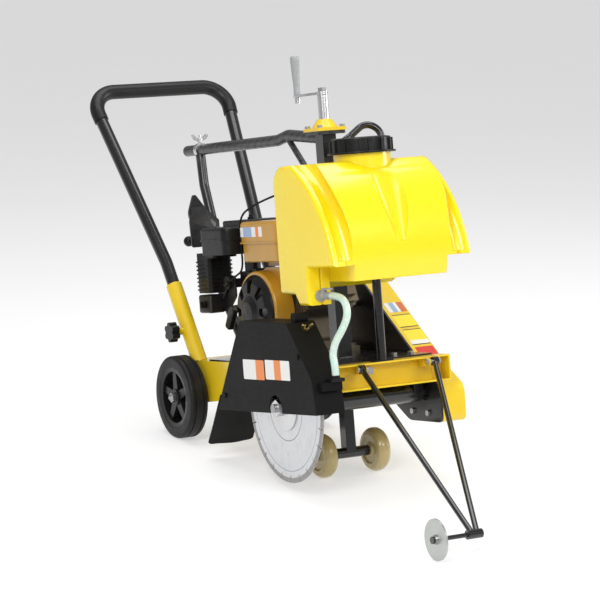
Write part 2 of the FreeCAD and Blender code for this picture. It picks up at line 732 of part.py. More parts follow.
def blade_guard():
    """Black sheet guard over the upper half of the blade, open below."""
    shell = side_plate(GUARD_OUTLINE, GUARD_OUT, GUARD_IN)
    shell = shell.cut(side_plate(GUARD_INSIDE, GUARD_OUT + GUARD_SHEET, GUARD_IN - GUARD_SHEET))
    notch = cross_rod(GUARD_OUT - 5, GUARD_OUT + 10, SHAFT_F, SHAFT_H, 30)
    seat = cross_rod(GUARD_IN - 10, GUARD_IN + 5, SHAFT_F, SHAFT_H, HOUSING_R + 6)
    ledge = block(GUARD_OUT + 14, GUARD_IN - 8, 764, 784, 44, 62)
    guard = joined([shell.cut(notch).cut(seat), ledge])
    foot_f, foot_h = WING_FOOT
    stud = rod((WING_X, foot_f, foot_h), (WING_X, foot_f + 0.78 * 24, foot_h + 0.626 * 24), 3.0)
    lug = cross_rod(-206, -172, 652, 206.5, 11)
    return joined([guard, stud, lug])


def wing_nut(start, direction, span, bore):
    """Wing nut with its hub along the direction and wings across the machine."""
    pieces = [upright(0, 0, 0, 9, 7)]
    for sign in (-1, 1):
        outline = [(sign * 3, 1.5), (sign * span * 0.8, 7, 4),
                   (sign * span, 18, 3), (sign * span * 0.75, 20, 2),
                   (sign * 3, 8)]
        pieces.append(cross_plate(outline, -2, 2))
    nut = joined(pieces).cut(upright(0, 0, -5, 40, bore))
    turn = FreeCAD.Rotation(Vector(0, 0, 1), at(*direction))
    nut.Placement = FreeCAD.Placement(at(*start), turn)
    return nut


def guard_wing_nut():
    start = (WING_X, WING_FOOT[0] + 0.78 * 3, WING_FOOT[1] + 0.626 * 3)
    return wing_nut(start, (0, 0.78, 0.626), 15, 3.0 + RUN)


def guard_flap():
    """Rubber mud flap bolted behind the guard's rear slope."""
    def on_flap(s, o, sag=0.0):
        return (284 + s * FLAP_UP[0] + o * FLAP_OUT[0] + sag, -16 + s * FLAP_UP[1] + o * FLAP_OUT[1])
    outline = [on_flap(42, 0.1), on_flap(-60, 0.1), on_flap(-108, 0.1, 8), on_flap(-108, 4.1, 8),
               on_flap(-60, 4.1), on_flap(42, 4.1)]
    return side_plate(outline, -231, -110)


def belt_cover():
    """Yellow belt cover: deep pressing, open towards the frame, with a folded lip."""
    shell = side_plate(COVER_OUTLINE, COVER_IN, COVER_OUT)
    shell = rounded_edges(shell, 6.0, lambda edge: edge.CenterOfMass.x > COVER_OUT - 0.1)
    inside = [(u + s, v + t, max(r - 4, 1)) for (u, v, r), (s, t) in
              zip(COVER_OUTLINE, ((4, -4), (-2, -4), (-2.5, -3.5), (-4, -3), (-4, 4), (1.5, 4), (4, 3)))]
    shell = shell.cut(side_plate(inside, COVER_IN - 5, COVER_OUT - COVER_SHEET))
    return shell


def belt_back_plate():
    """Black plate behind the belts, with openings for both shafts."""
    plate = side_plate(COVER_OUTLINE, COVER_IN - 5, COVER_IN)
    plate = plate.cut(cross_rod(150, 170, SHAFT_F, SHAFT_H, SHAFT_R + 6))
    plate = plate.cut(cross_rod(150, 170, CRANK_F, CRANK_H, 40))
    return plate


# ---------------------------------------------------------------- water system
def tank_profile(low, wall, arc):
    """Side outline of a slice of the tank as a face at x = 0, inset by the wall."""
    fc, hc, full_r = arc
    r = full_r - wall
    top = TANK_TOP - wall
    rear = TANK_REAR + wall
    corner_r = 45.0 - wall
    front_low = low[0][1]
    arc_top_f = fc + math.sqrt(r * r - (top - hc) ** 2)
    low_f = fc + math.sqrt(r * r - (front_low - hc) ** 2)
    middle = (math.atan2(top - hc, arc_top_f - fc) + math.atan2(front_low - hc, low_f - fc)) / 2
    crown = (fc + r * math.cos(middle), hc + r * math.sin(middle))
    bend = corner_r * (1 - math.sqrt(0.5))
    edges = [Part.LineSegment(at(0, rear + corner_r, top), at(0, arc_top_f, top)).toShape(),
             Part.Arc(at(0, arc_top_f, top), at(0, crown[0], crown[1]), at(0, low_f, front_low)).toShape()]
    outline = [(low_f, front_low)] + low[1:] + [(rear, top - corner_r)]
    for start, end in zip(outline[:-1], outline[1:]):
        edges.append(Part.LineSegment(at(0, start[0], start[1]), at(0, end[0], end[1])).toShape())
    edges.append(Part.Arc(at(0, rear, top - corner_r), at(0, rear + bend, top - bend),
                          at(0, rear + corner_r, top)).toShape())
    return Part.Face(Part.Wire(edges))


def tank_slice(x0, x1, low, wall, arc, soft_x=None):
    """Slice from x0 to x1, with its edges rounded in the plane x = soft_x."""
    face = tank_profile(low, wall, arc)
    face.translate(Vector(x0, 0, 0))
    piece = face.extrude(Vector(x1 - x0, 0, 0))
    if soft_x is None or wall > 0:
        return piece
    return rounded_edges(piece, 9.0, lambda edge: abs(edge.BoundBox.XMin - soft_x) < 0.01
                         and abs(edge.BoundBox.XMax - soft_x) < 0.01)


def valley(wall):
    """Cone that hollows the front: wide below the neck, running out to a point at the foot."""
    top_f, top_h, top_r = VALLEY_TOP
    foot_f, foot_h, foot_r = VALLEY_FOOT
    return cone((0, top_f, top_h), (0, foot_f, foot_h), top_r + wall, foot_r + wall)


def tank_body(wall):
    """Closed tank form: ears behind a groove, left leg behind the valve recess, stepped right corner."""
    rear = TANK_REAR + wall
    ear_low = 318 + wall
    right_low = 322 + wall
    left_low = [(0, ear_low), (690 - wall, ear_low), (690 - wall, 231 + wall), (642, 231 + wall),
                (624, 256 + wall), (rear, 258 + wall)]
    middle_low = [(0, TANK_LOW + wall), (600, TANK_LOW + wall), (rear, 262 + wall)]
    left_in = TANK_LEFT_INNER + wall
    right_in = TANK_RIGHT_INNER - wall
    slices = [
        tank_slice(-TANK_HALF + wall, -TANK_EAR, left_low, wall, TANK_ARC, -TANK_HALF),
        tank_slice(-TANK_EAR, left_in, left_low, wall, TANK_MAIN_ARC, -TANK_EAR),
        tank_slice(left_in, right_in, middle_low, wall, TANK_MAIN_ARC),
        tank_slice(right_in, TANK_EAR, [(0, right_low), (rear, right_low)], wall, TANK_MAIN_ARC, TANK_EAR),
        tank_slice(TANK_EAR, TANK_HALF - wall, [(0, right_low), (rear, right_low)], wall, TANK_ARC,
                   TANK_HALF),
    ]
    body = joined(slices)
    body = body.cut(valley(wall))
    fc, hc, r = TANK_ARC
    for side in (-1, 1):
        ring = Part.makeTorus(r + GROOVE_OUT, GROOVE_R + wall, at(side * TANK_EAR, fc, hc), Vector(1, 0, 0),
                              0, 360, 360)
        upper = block(side * TANK_EAR - 40, side * TANK_EAR + 40, 560, 900, 330 - wall, 700)
        body = body.cut(ring.common(upper))
    return body


def water_tank():
    """Moulded water tank: even wall, filler neck, curved front with a valley, valve recess."""
    neck = upright(0, NECK_F, 500, NECK_TOP, NECK_R)
    tank = joined([tank_body(0.0), neck])
    tank = tank.cut(tank_body(TANK_WALL))
    return tank.cut(upright(0, NECK_F, 505, NECK_TOP + 5, NECK_R - 5))


def tank_cap():
    """Ribbed screw cap with its flange."""
    inner = NECK_R + CAP_PLAY
    roof = NECK_TOP + 0.5
    body = turned_up([(inner, 566), (NECK_R + 13, 566, 2), (NECK_R + 13, 571, 2), (NECK_R + 3, 571),
                      (NECK_R + 3, 602, 4), (NECK_R - 8, 604, 2), (NECK_R - 12, 600), (0, 600),
                      (0, roof), (inner, roof)], 0, NECK_F)
    rib = block(NECK_R + 1, NECK_R + 7, NECK_F - 5, NECK_F + 5, 571, 599)
    ribs = ring_of(rib, 14, at(0, NECK_F, 0), Vector(0, 0, 1))
    return joined([body] + ribs)


def water_fittings():
    """Outlet tap on the recess wall with its hose barb, and the hose elbow on the guard's ledge."""
    seat = rod((VALVE_X, 690, VALVE_H), (VALVE_X, 698, VALVE_H), 13)
    body = rod((VALVE_X, 698, VALVE_H), (VALVE_X, 722, VALVE_H), 9)
    dome = upright(VALVE_X, 710, VALVE_H, VALVE_H + 12, 6.5)
    barb = rod((VALVE_X, 722, VALVE_H), (VALVE_X, 744, VALVE_H), 7)
    collar = rod((VALVE_X, 726, VALVE_H), (VALVE_X, 730, VALVE_H), 8.5)
    elbow = joined([block(-194, -160, 764, 790, 62, 70), upright(-175, 776, 70, 76, 9.5)])
    return group([joined([seat, body, dome, barb, collar]), elbow])


def valve_lever():
    """Quarter-turn lever on top of the tap."""
    hub = upright(VALVE_X, 710, VALVE_H + 12.2, VALVE_H + 18, 6)
    lever = flat_plate([(VALVE_X - 4.5, 708, 2), (VALVE_X + 4.5, 708, 2), (VALVE_X + 5.5, 744, 5),
                        (VALVE_X - 5.5, 744, 5)], VALVE_H + 14, VALVE_H + 17.5)
    return joined([hub, lever])


def cord_radii(places):
    """Bend radius at each inner point, 0.45 of the shorter run over the tangent of half the turn."""
    radii = []
    for i in range(1, len(places) - 1):
        back = places[i - 1] - places[i]
        ahead = places[i + 1] - places[i]
        half_turn = (math.pi - back.getAngle(ahead)) / 2.0
        radii.append(0.45 * min(back.Length, ahead.Length) / math.tan(half_turn))
    return radii


def cord(name, points, radius):
    places = [at(*point) for point in points]
    radii = cord_radii(places)
    path = route(places, radii)
    solid = swept(path, radius)
    expected = math.pi * radius ** 2 * path.Length
    print("%s length %.1f mm, volume ratio %.4f" % (name, path.Length, solid.Volume / expected))
    print("%s bend radii: %s" % (name, [round(value, 1) for value in radii]))
    return solid


def water_hose():
    return cord("hose", HOSE_ROUTE, HOSE_R)


def throttle_cable():
    return cord("cable", CABLE_ROUTE, CABLE_R)


# ---------------------------------------------------------------- supports over the deck
def top_rail():
    """Padded rail from the column back over the engine, its rear post and the diagonal brace."""
    rail = bent_rod([(0, -237, RAIL_H - 2), (0, 262, RAIL_H + 2), (0, 318, RAIL_H + 12),
                     (0, 482, RAIL_H - 3)], 60, RAIL_R)
    post = bent_rod([(0, -167, RAIL_H - 4), (0, -158, 520), (0, -116, 400), (0, -104, 250),
                     (0, 20, DECK_TOP - 8)],
                    60, 12.5)
    brace = rod((0, 316, RAIL_H + 2), (0, COLUMN_F - COLUMN_HALF + 2, 458), 7.5)
    cradle = flat_plate([(-36, COLUMN_F - 36, 5), (36, COLUMN_F - 36, 5), (36, COLUMN_F + 36, 5),
                         (-36, COLUMN_F + 36, 5)], COLUMN_TOP, 626)
    trim = block(-COLUMN_HALF, COLUMN_HALF, COLUMN_F - COLUMN_HALF, COLUMN_F + COLUMN_HALF, 400, COLUMN_TOP)
    panel = cross_plate([(-72, 364, 6), (10, 364, 6), (10, 430, 6),
                         (-30, 466, 8), (-66, 466, 8), (-74, 430, 6)],
                        -112, -108)
    rail = joined([rail, post, brace, cradle, panel])
    below = block(-40, 40, -60, 60, 60, RAIL_TOP)
    above = block(-60, 60, COLUMN_F - 48, COLUMN_F + 48, 626, 660)
    rail = rail.cut(trim).cut(below).cut(above)
    rail = rail.cut(upright(0, COLUMN_F, COLUMN_TOP - 1, 627, SCREW_R + RUN))
    for x in (-30, 30):
        for f in (COLUMN_F - 30, COLUMN_F + 30):
            rail = rail.cut(upright(x, f, COLUMN_TOP - 1, 627, 4.0))
    return rail


def rail_clamp():
    """Bright band clamp round the rail with the wing nut's stud on top."""
    f = -163.0
    band = pipe((0, f - 7, RAIL_H - 1.7), (0, f + 7, RAIL_H - 1.5), RAIL_R + 4, RAIL_R + 0.1)
    gap = block(-14, 14, f - 12, f + 12, 560, RAIL_H - 4)
    stud = upright(0, f, RAIL_H + RAIL_R + 0.4, RAIL_H + 36, 3.0)
    return joined([band.cut(gap), stud]).cut(top_rail())


def rail_wing_nut():
    return wing_nut((0, -163.0, RAIL_H + 18.5), (0, 0, 1), 24, 3.0 + RUN)


def tank_supports():
    """Post under the tank, and the hoop from the column round the filler neck."""
    post = upright(0, 685, DECK_TOP - 4.0, TANK_LOW - 4, 10.5)
    foot = block(-24, 24, 667, 697, RAIL_TOP, RAIL_TOP + 3)
    pad = block(-45, 45, 655, 715, TANK_LOW - 4, TANK_LOW)
    hoop = bent_rod([(COLUMN_HALF, 498, 582), (62, 508, 610), (98, 520, 640),
                     (128, 532, 620), (134, 544, 560),
                     (134, 546, 500)], 30, 8.5)
    hoop_cut = block(0, 200, TANK_REAR, 620, 400, 700).fuse(block(-30, COLUMN_HALF, 470, 530, 560, 640))
    bracket = block(COLUMN_HALF, COLUMN_HALF + 4, 486, 512, 562, 604)
    foot_plate = block(118, 150, 551, TANK_REAR, 470, 500).fuse(block(118, 150, 536, 551, 488, 500))
    return group([joined([post, foot, pad]), joined([hoop.cut(hoop_cut), bracket, foot_plate])])


# ---------------------------------------------------------------- engine
def engine_block():
    """Crankcase with its bed, and the finned cylinder leaning forwards."""
    case = side_plate([(160, 118, 14), (160, 262, 30), (312, 280, 30), (330, 118, 14)], -34, 118)
    bed = side_plate([(150, DECK_TOP), (150, 104, 4), (345, 104, 4), (345, DECK_TOP)], -54, 138)
    neck = side_plate([(165, 100), (165, 130), (325, 130), (325, 100)], -26, 108)
    pieces = [case, bed, neck]
    lean = math.radians(22)
    for i in range(9):
        reach = 92 + 9.5 * i
        centre = (CRANK_F + reach * math.cos(lean), CRANK_H + reach * math.sin(lean))
        size = 58 - (4 if i > 6 else 0)
        fin = block(-32, 100, -1.8, 1.8, -size, size)
        fin.rotate(Vector(0, 0, 0), Vector(1, 0, 0), -22)
        fin.translate(at(0, centre[0], centre[1]))
        pieces.append(fin)
    core = rod((34, CRANK_F + 40, CRANK_H + 16),
               (34, CRANK_F + 176 * math.cos(lean), CRANK_H + 176 * math.sin(lean)),
               42)
    head = block(-18, 86, -10, 10, -44, 44)
    head.rotate(Vector(0, 0, 0), Vector(1, 0, 0), -22)
    head.translate(at(0, CRANK_F + 182 * math.cos(lean), CRANK_H + 182 * math.sin(lean)))
    pieces += [core, head]
    whole = joined(pieces)
    whole = whole.cut(cross_rod(-40, 130, CRANK_F, CRANK_H, 12.5 + RUN))
    return whole


def muffler():
    """Silencer box with a perforated-look front shield and its outlet."""
    body = block(-10, 104, 402, 464, 322, 374)
    body = rounded_edges(body, 10, lambda edge: edge.Length > 100)
    outlet = rod((60, 455, 350), (60, 474, 350), 9)
    pipe_down = upright(48, 425, 290, 326, 11)
    return joined([body, outlet, pipe_down]).cut(engine_block())


def blower_housing():
    """Gold fan cowl: drum round the flywheel with a rolled edge and a shroud to the cylinder."""
    drum = turned([(-84, 90), (-84, 98, 5), (-35, 100.5), (-35, 84), (-80, 84), (-80, 90)], CRANK_F, CRANK_H)
    roof = side_plate([(CRANK_F - 60, CRANK_H + 74), (CRANK_F + 10, CRANK_H + 106, 20),
                       (CRANK_F + 165, CRANK_H + 104, 20),
                       (CRANK_F + 150, CRANK_H + 40), (CRANK_F + 60, CRANK_H + 70)], -56, -35)
    hollow = cross_rod(-90, -30, CRANK_F, CRANK_H, 90)
    cowl = joined([drum, roof.cut(hollow)])
    return cowl


def recoil_cover():
    """Black recoil starter cover: dished, eight sloping vents and a raised hub."""
    profile = [(-80.5, 89.5), (-86, 89.5, 2), (-100, 74, 8), (-104, 40, 6), (-112, 26, 4),
               (-114, 0), (-100, 0), (-95, 30), (-92, 66), (-82, 82)]
    cover = turned(profile, CRANK_F, CRANK_H)
    vent = side_plate([(CRANK_F - 9, CRANK_H + 46, 4), (CRANK_F + 7, CRANK_H + 46, 4),
                       (CRANK_F + 15, CRANK_H + 78, 5), (CRANK_F - 11, CRANK_H + 78, 5)], -125, -70)
    vents = ring_of(vent, 8, at(0, CRANK_F, CRANK_H), Vector(1, 0, 0))
    cover = cover.cut(vents)
    guide = rod((-92, CRANK_F - 96, CRANK_H + 9), (-92, CRANK_F - 76, CRANK_H + 9), 8)
    cover = joined([cover, guide])
    return cover.cut(rod((-92, CRANK_F - 110, CRANK_H + 9), (-92, CRANK_F - 20, CRANK_H + 9), 2.6))


def recoil_grip():
    """Starter grip and the straight end of its cord, held in the cover's guide."""
    x, f, h = GRIP_MOUTH
    grip = side_plate([(f, h + 8, 5), (f, h - 8, 5), (f - 34, h - 56, 7), (f - 54, h - 46, 7),
                       (f - 22, h + 4, 8)],
                      x - 8, x + 8)
    grip = rounded_edges(grip, 4, lambda edge: edge.Length > 20 and abs(edge.CenterOfMass.x - x) > 7)
    cord = rod((x, f - 6, h), (x, CRANK_F + 28, h), 2.5)
    return joined([grip, cord])


def fuel_tank():
    """Gold fuel tank: two pressings joined at a flange."""
    low = flat_plate([(-87, 187, 22), (111, 187, 22), (111, 387, 22), (-87, 387, 22)], 325, 371)
    flange = flat_plate([(-92, 182, 20), (116, 182, 20), (116, 392, 20), (-92, 392, 20)], 371, 374.5)
    high = flat_plate([(-89, 185, 20), (113, 185, 20), (113, 389, 20), (-89, 389, 20)], 374.5, 424)
    high = rounded_edges(high, 9, lambda edge: edge.CenterOfMass.z > 423.5)
    low = rounded_edges(low, 7, lambda edge: edge.CenterOfMass.z < 325.5)
    mouth = upright(40, 262, 424, 430, 24)
    straps = [block(x, x + 14, 240, 300, 313, 325) for x in (-40, 60)]
    tank = joined([low, flange, high, mouth] + straps)
    cavity = flat_plate([(-78, 196, 18), (102, 196, 18), (102, 378, 18), (-78, 378, 18)], 340, 416)
    return tank.cut(cavity)


def fuel_cap():
    """Fuel cap with grip lobes."""
    body = upright(40, 262, 430.2, 446, 27)
    lobe = upright(40 + 27, 262, 430.2, 444, 4)
    return joined([body] + ring_of(lobe, 8, at(40, 262, 0), Vector(0, 0, 1)))


def air_cleaner():
    """Black air cleaner: base tray, cover with a lip, intake duct with ribs, and the cover's wing knob."""
    tray = flat_plate([(-120, 28, 22), (52, 28, 16), (52, 172, 10), (-120, 172, 22)], 346, 381)
    lip = flat_plate([(-123, 25, 24), (55, 25, 18), (55, 174, 10), (-123, 174, 24)], 381, 386)
    cover = flat_plate([(-121, 27, 23), (53, 27, 17), (53, 172, 10), (-121, 172, 23)], 386, 414)
    cover = rounded_edges(cover, 9, lambda edge: edge.CenterOfMass.z > 413.5)
    hood = flat_plate([(-70, 60, 12), (46, 60, 12), (46, 166, 10), (-70, 166, 10)], 410, 428)
    hood = rounded_edges(hood, 5, lambda edge: edge.CenterOfMass.z > 427.5)
    duct = flat_plate([(-96, -46, 10), (-30, -46, 10), (-30, 26, 10), (-96, 26, 10)], 250, 346)
    floor = flat_plate([(-96, -46, 10), (-30, -46, 10), (-30, 60, 10), (-96, 60, 10)], 338, 350)
    ribs = [flat_plate([(-99, -49, 12), (-27, -49, 12), (-27, 29, 12), (-99, 29, 12)], h, h + 4)
            for h in range(256, 336, 10)]
    knob = joined([upright(-12, 112, 428, 434, 9), upright(-12, 112, 434, 440, 6)])
    return joined([tray, lip, cover, hood, duct, floor, knob] + ribs)


def carburettor():
    """Carburettor with its float bowl and elbow, governor plate, throttle quadrant and control box."""
    elbow = upright(-16, 110, 300, 346, 20)
    body = block(-40, 10, 84, 136, 262, 300)
    bowl = upright(-14, 108, 226, 262, 19)
    drain = hexagon((-14, 108, 220), (-14, 108, 226), 12)
    flange = block(-34, 12, 134, 160, 252, 306)
    plate = side_plate([(10, 202, 4), (10, 244, 4), (32, 246, 3), (34, 288, 8), (96, 292, 6), (96, 240, 10),
                        (50, 202, 10)], -62, -58)
    stay = block(-58, -40, 84, 96, 262, 284)
    box = block(-100, -58, -40, 26, 200, 246)
    box = rounded_edges(box, 6, lambda edge: edge.Length > 40)
    link = rod((-66, 50, 262), (-66, 84, 288), 3)
    quadrant = cross_rod(-70, -62, 66, 274, 17)
    spring = rod((-66, 34, 236), (-66, 60, 262), 3.5)
    neck = rod((-74, 65, 269), (-74, 84, 276), 4.5)
    return joined([elbow, body, bowl, drain, flange, plate, stay, box, link, quadrant, spring, neck])


def engine_switch():
    """Rotary stop switch on the control box."""
    x, f, h = SWITCH
    return joined([cross_rod(x - 8, x, f, h, 9), block(x - 12, x - 8, f - 3, f + 3, h - 8, h + 8)])


def throttle_lever():
    """Lens-shaped hand lever on the rear post, turning about its middle."""
    x, f, h = HAND_LEVER
    lens = cross_plate([(x - 8, h + 56, 6), (x + 30, h + 4, 34), (x + 4, h - 46, 8), (x - 30, h - 6, 34)],
                       f - 8, f - 0.2)
    rim = rod((x, f - 12, h), (x, f - 0.2, h), 14)
    lever = joined([lens, rim])
    return lever.cut(rod((x, f - 20, h), (x, f + 5, h), 5.5))


def post_knob():
    """Round clamping knob at the foot of the lever panel."""
    x, f, h = (-60.0, -112.0, 380.0)
    stud = rod((x, f - 0.2, h), (x, f - 30, h), 3.5)
    ball = Part.makeSphere(13.5, at(x, f - 38, h))
    neck = cone((x, f - 24, h), (x, f - 34, h), 6, 10)
    return joined([stud, ball, neck])


# ---------------------------------------------------------------- fasteners
def frame_bolts():
    """Hexagon bolts, hinge pins, spacers and the hand lever's pivot, as separate solids."""
    pieces = []
    for x in (-30, 30):
        for f in (COLUMN_F - 30, COLUMN_F + 30):
            pieces.append(bolt((x, f, 634), (x, f, 640), 13, 4.0, 16))
    for x in (-44, 128):
        for f in (168, 330):
            pieces.append(hexagon((x, f, 104), (x, f, 111), 14))
    pieces.append(hexagon((-22, RAIL_FRONT + SHEET, 68), (-22, RAIL_FRONT + SHEET + 8, 68), 17))
    for x, f in ((70, 620), (112, 628), (-104, 620)):
        pieces.append(hexagon((x, f, DECK_TOP), (x, f, DECK_TOP + 7), 15))
    for x, ear in zip(POINTER_ARMS, POINTER_EARS):
        way = 1 if x > ear else -1
        pin = cross_rod(ear - way * 8, x + way * 11, POINTER_F, POINTER_H, 5.0)
        outer = hexagon((x + way * 8.0, POINTER_F, POINTER_H), (x + way * 13, POINTER_F, POINTER_H), 14)
        inner = hexagon((ear - way * 2.1, POINTER_F, POINTER_H), (ear - way * 7.5, POINTER_F, POINTER_H), 14)
        pieces.append(joined([pin, outer, inner]))
    for f, h in ((450, 60), (640, 58)):
        pieces.append(cross_rod(GUARD_IN, -RAIL_OUT, f, h, 9))
    for f, h in ((450, 60), (640, 58)):
        pieces.append(cross_rod(RAIL_OUT, COVER_IN - 5, f, h, 9))
    for f, h in ((540, -50), (610, -52)):
        pieces.append(hexagon((COVER_IN - 5, f, h), (COVER_IN - 11, f, h), 13))
    for f, h in ((705, 120), (330, 20)):
        pieces.append(hexagon((GUARD_OUT, f, h), (GUARD_OUT - 3, f, h), 11))
    x, f, h = HAND_LEVER
    stud = rod((x, f + 0.3, h), (x, f - 13, h), LEVER_STUD)
    head = rod((x, f - 12.3, h), (x, f - 15, h), 9)
    pieces.append(joined([stud, head]))
    return group(pieces)


# ---------------------------------------------------------------- assembly
def machine():
    nodes = {
        "main_frame": main_frame(),
        "deck_plate": deck_plate(),
        "front_channel": front_channel(),
        "rear_axle": rear_axle(),
        "rear_wheel_left": rear_wheel(),
        "rear_wheel_right": mirrored(rear_wheel()),
        "rear_tyre_left": rear_tyre(),
        "rear_tyre_right": mirrored(rear_tyre()),
        "handle_tube": handle_tube(),
        "handle_grip": handle_grip(),
        "handle_knob_left": handle_knob(),
        "handle_knob_right": mirrored(handle_knob()),
        "column_tube": column_tube(),
        "column_flange": column_flange(),
        "screw_sleeve": screw_sleeve(),
        "lift_screw": lift_screw(),
        "crank_arm": crank_arm(),
        "crank_grip": crank_grip(),
        "front_leg": front_leg(),
        "front_axle": front_axle(),
        "front_wheel_left": front_wheel(),
        "front_wheel_right": mirrored(front_wheel()),
        "pointer_arm": pointer_arm(),
        "pointer_wheel": pointer_wheel(),
        "blade": blade(),
        "blade_shaft": blade_shaft(),
        "blade_flanges": blade_flanges(),
        "driven_pulley": driven_pulley(),
        "drive_pulley": drive_pulley(),
        "crankshaft": crankshaft(),
        "drive_belts": drive_belts(),
        "shaft_housing": shaft_housing(),
        "blade_guard": blade_guard(),
        "guard_wing_nut": guard_wing_nut(),
        "guard_flap": guard_flap(),
        "belt_cover": belt_cover(),
        "belt_back_plate": belt_back_plate(),
        "water_tank": water_tank(),
        "tank_cap": tank_cap(),
        "water_fittings": water_fittings(),
        "valve_lever": valve_lever(),
        "water_hose": water_hose(),
        "throttle_cable": throttle_cable(),
        "top_rail": top_rail(),
        "rail_clamp": rail_clamp(),
        "rail_wing_nut": rail_wing_nut(),
        "tank_supports": tank_supports(),
        "engine_block": engine_block(),
        "muffler": muffler(),
        "blower_housing": blower_housing(),
        "recoil_cover": recoil_cover(),
        "recoil_grip": recoil_grip(),
        "fuel_tank": fuel_tank(),
        "fuel_cap": fuel_cap(),
        "air_cleaner": air_cleaner(),
        "carburettor": carburettor(),
        "throttle_lever": throttle_lever(),
        "post_knob": post_knob(),
        "engine_switch": engine_switch(),
        "frame_bolts": frame_bolts(),
    }
    return nodes


def stood_up(shape):
    """Tips the level machine nose up about the rear axle and stands it on the floor."""
    placed = shape.copy()
    placed.rotate(Vector(0, 0, 0), Vector(1, 0, 0), -NOSE_UP)
    placed.translate(Vector(0, 0, REAR_WHEEL_R))
    return placed


os.makedirs("parts", exist_ok=True)
standing = {name: stood_up(shape) for name, shape in machine().items()}
whole_box = FreeCAD.BoundBox()
for shape in standing.values():
    whole_box.add(shape.optimalBoundingBox(False, False))
CENTRING = Vector(-whole_box.Center.x, -whole_box.Center.y, -whole_box.ZMin)
for name, shape in standing.items():
    shape.translate(CENTRING)
    shape.exportStep("parts/%s.step" % name)
size = (whole_box.XLength, whole_box.YLength, whole_box.ZLength)
print("box %.1f x %.1f x %.1f mm, centring %s" % (*size, CENTRING))
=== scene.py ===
import math
import random

import bmesh
import bpy
from mathutils import Matrix, Vector

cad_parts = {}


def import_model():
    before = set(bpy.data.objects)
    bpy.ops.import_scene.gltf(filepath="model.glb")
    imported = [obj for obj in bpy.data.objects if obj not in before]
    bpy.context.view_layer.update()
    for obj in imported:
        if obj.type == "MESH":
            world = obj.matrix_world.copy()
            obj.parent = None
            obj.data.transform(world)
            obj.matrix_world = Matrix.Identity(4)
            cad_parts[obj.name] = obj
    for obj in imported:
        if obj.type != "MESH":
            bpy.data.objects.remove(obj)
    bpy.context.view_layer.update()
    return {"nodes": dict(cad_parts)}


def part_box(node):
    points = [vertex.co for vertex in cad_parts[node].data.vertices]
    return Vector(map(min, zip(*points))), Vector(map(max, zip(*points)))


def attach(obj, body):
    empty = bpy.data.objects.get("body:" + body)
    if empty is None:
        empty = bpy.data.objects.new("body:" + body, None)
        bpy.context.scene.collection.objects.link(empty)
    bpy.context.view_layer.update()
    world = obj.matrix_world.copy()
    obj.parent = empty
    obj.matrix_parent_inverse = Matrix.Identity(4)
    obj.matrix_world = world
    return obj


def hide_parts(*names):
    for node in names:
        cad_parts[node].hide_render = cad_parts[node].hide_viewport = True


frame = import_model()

RANDOM = random.Random(7)

# ---------------------------------------------------------------- machine coordinates
# The machine is modelled level and tipped nose up about its rear axle. A point is (x, f, h)
# in millimetres: across, forwards and upwards from the rear axle.
NOSE_UP = math.radians(9.31)
CENTRE_X = 4.0
CENTRE_Y = 368.25079
WHEEL_R = 103.0


def world(x, f, h):
    """The place, in metres in the shared frame, of a point of the machine."""
    c, s = math.cos(NOSE_UP), math.sin(NOSE_UP)
    return Vector((x + CENTRE_X, h * s - f * c + CENTRE_Y, f * s + h * c + WHEEL_R)) / 1000.0


# ---------------------------------------------------------------- camera and light
CAMERA_PLACE = (-2.98406, -5.31157, 1.56654)
CAMERA_YAW = 28.918         # degrees
CAMERA_DOWN = 10.895
CAMERA_ROLL = 0.1776
CAMERA_LENS = 156.2         # mm, on a sensor 36 mm wide


def add_camera():
    data = bpy.data.cameras.new("camera")
    data.sensor_width = 36.0
    data.lens = CAMERA_LENS
    cam = bpy.data.objects.new("camera", data)
    cam.location = CAMERA_PLACE
    yaw = Matrix.Rotation(math.radians(-CAMERA_YAW), 4, "Z")
    tilt = Matrix.Rotation(math.radians(90 - CAMERA_DOWN), 4, "X")
    roll = Matrix.Rotation(math.radians(CAMERA_ROLL), 4, "Z")
    cam.rotation_euler = (yaw @ tilt @ roll).to_euler()
    data.clip_end = 100
    bpy.context.scene.collection.objects.link(cam)
    bpy.context.scene.camera = cam


AMBIENT = 0.34              # strength of the surroundings as light
BACKDROP = 1.0              # their strength where they are seen directly
FLOOR_GLOW = 0.50           # the floor's own light, which keeps it pale
LIGHTS = (                  # name, place, aim, size, power
    ("key", (-2.6, -2.6, 3.0), (0, 0, 0.4), (1.2, 2.2), 100),
    ("front", (0.6, -4.2, 2.6), (0, 0, 0.4), (2.4, 1.0), 60),
    ("right", (3.4, -1.2, 1.8), (0, 0, 0.4), (1.2, 2.0), 55),
    ("top", (0.2, 0.6, 3.6), (0, 0, 0.3), (3.0, 2.4), 75),
)


def add_area_light(name, place, aim, size, power):
    data = bpy.data.lights.new(name, "AREA")
    data.shape = "RECTANGLE"
    data.size, data.size_y = size
    data.energy = power
    data.color = (1, 1, 1)
    light = bpy.data.objects.new(name, data)
    light.location = place
    light.rotation_euler = (Vector(aim) - Vector(place)).to_track_quat("-Z", "Y").to_euler()
    bpy.context.scene.collection.objects.link(light)


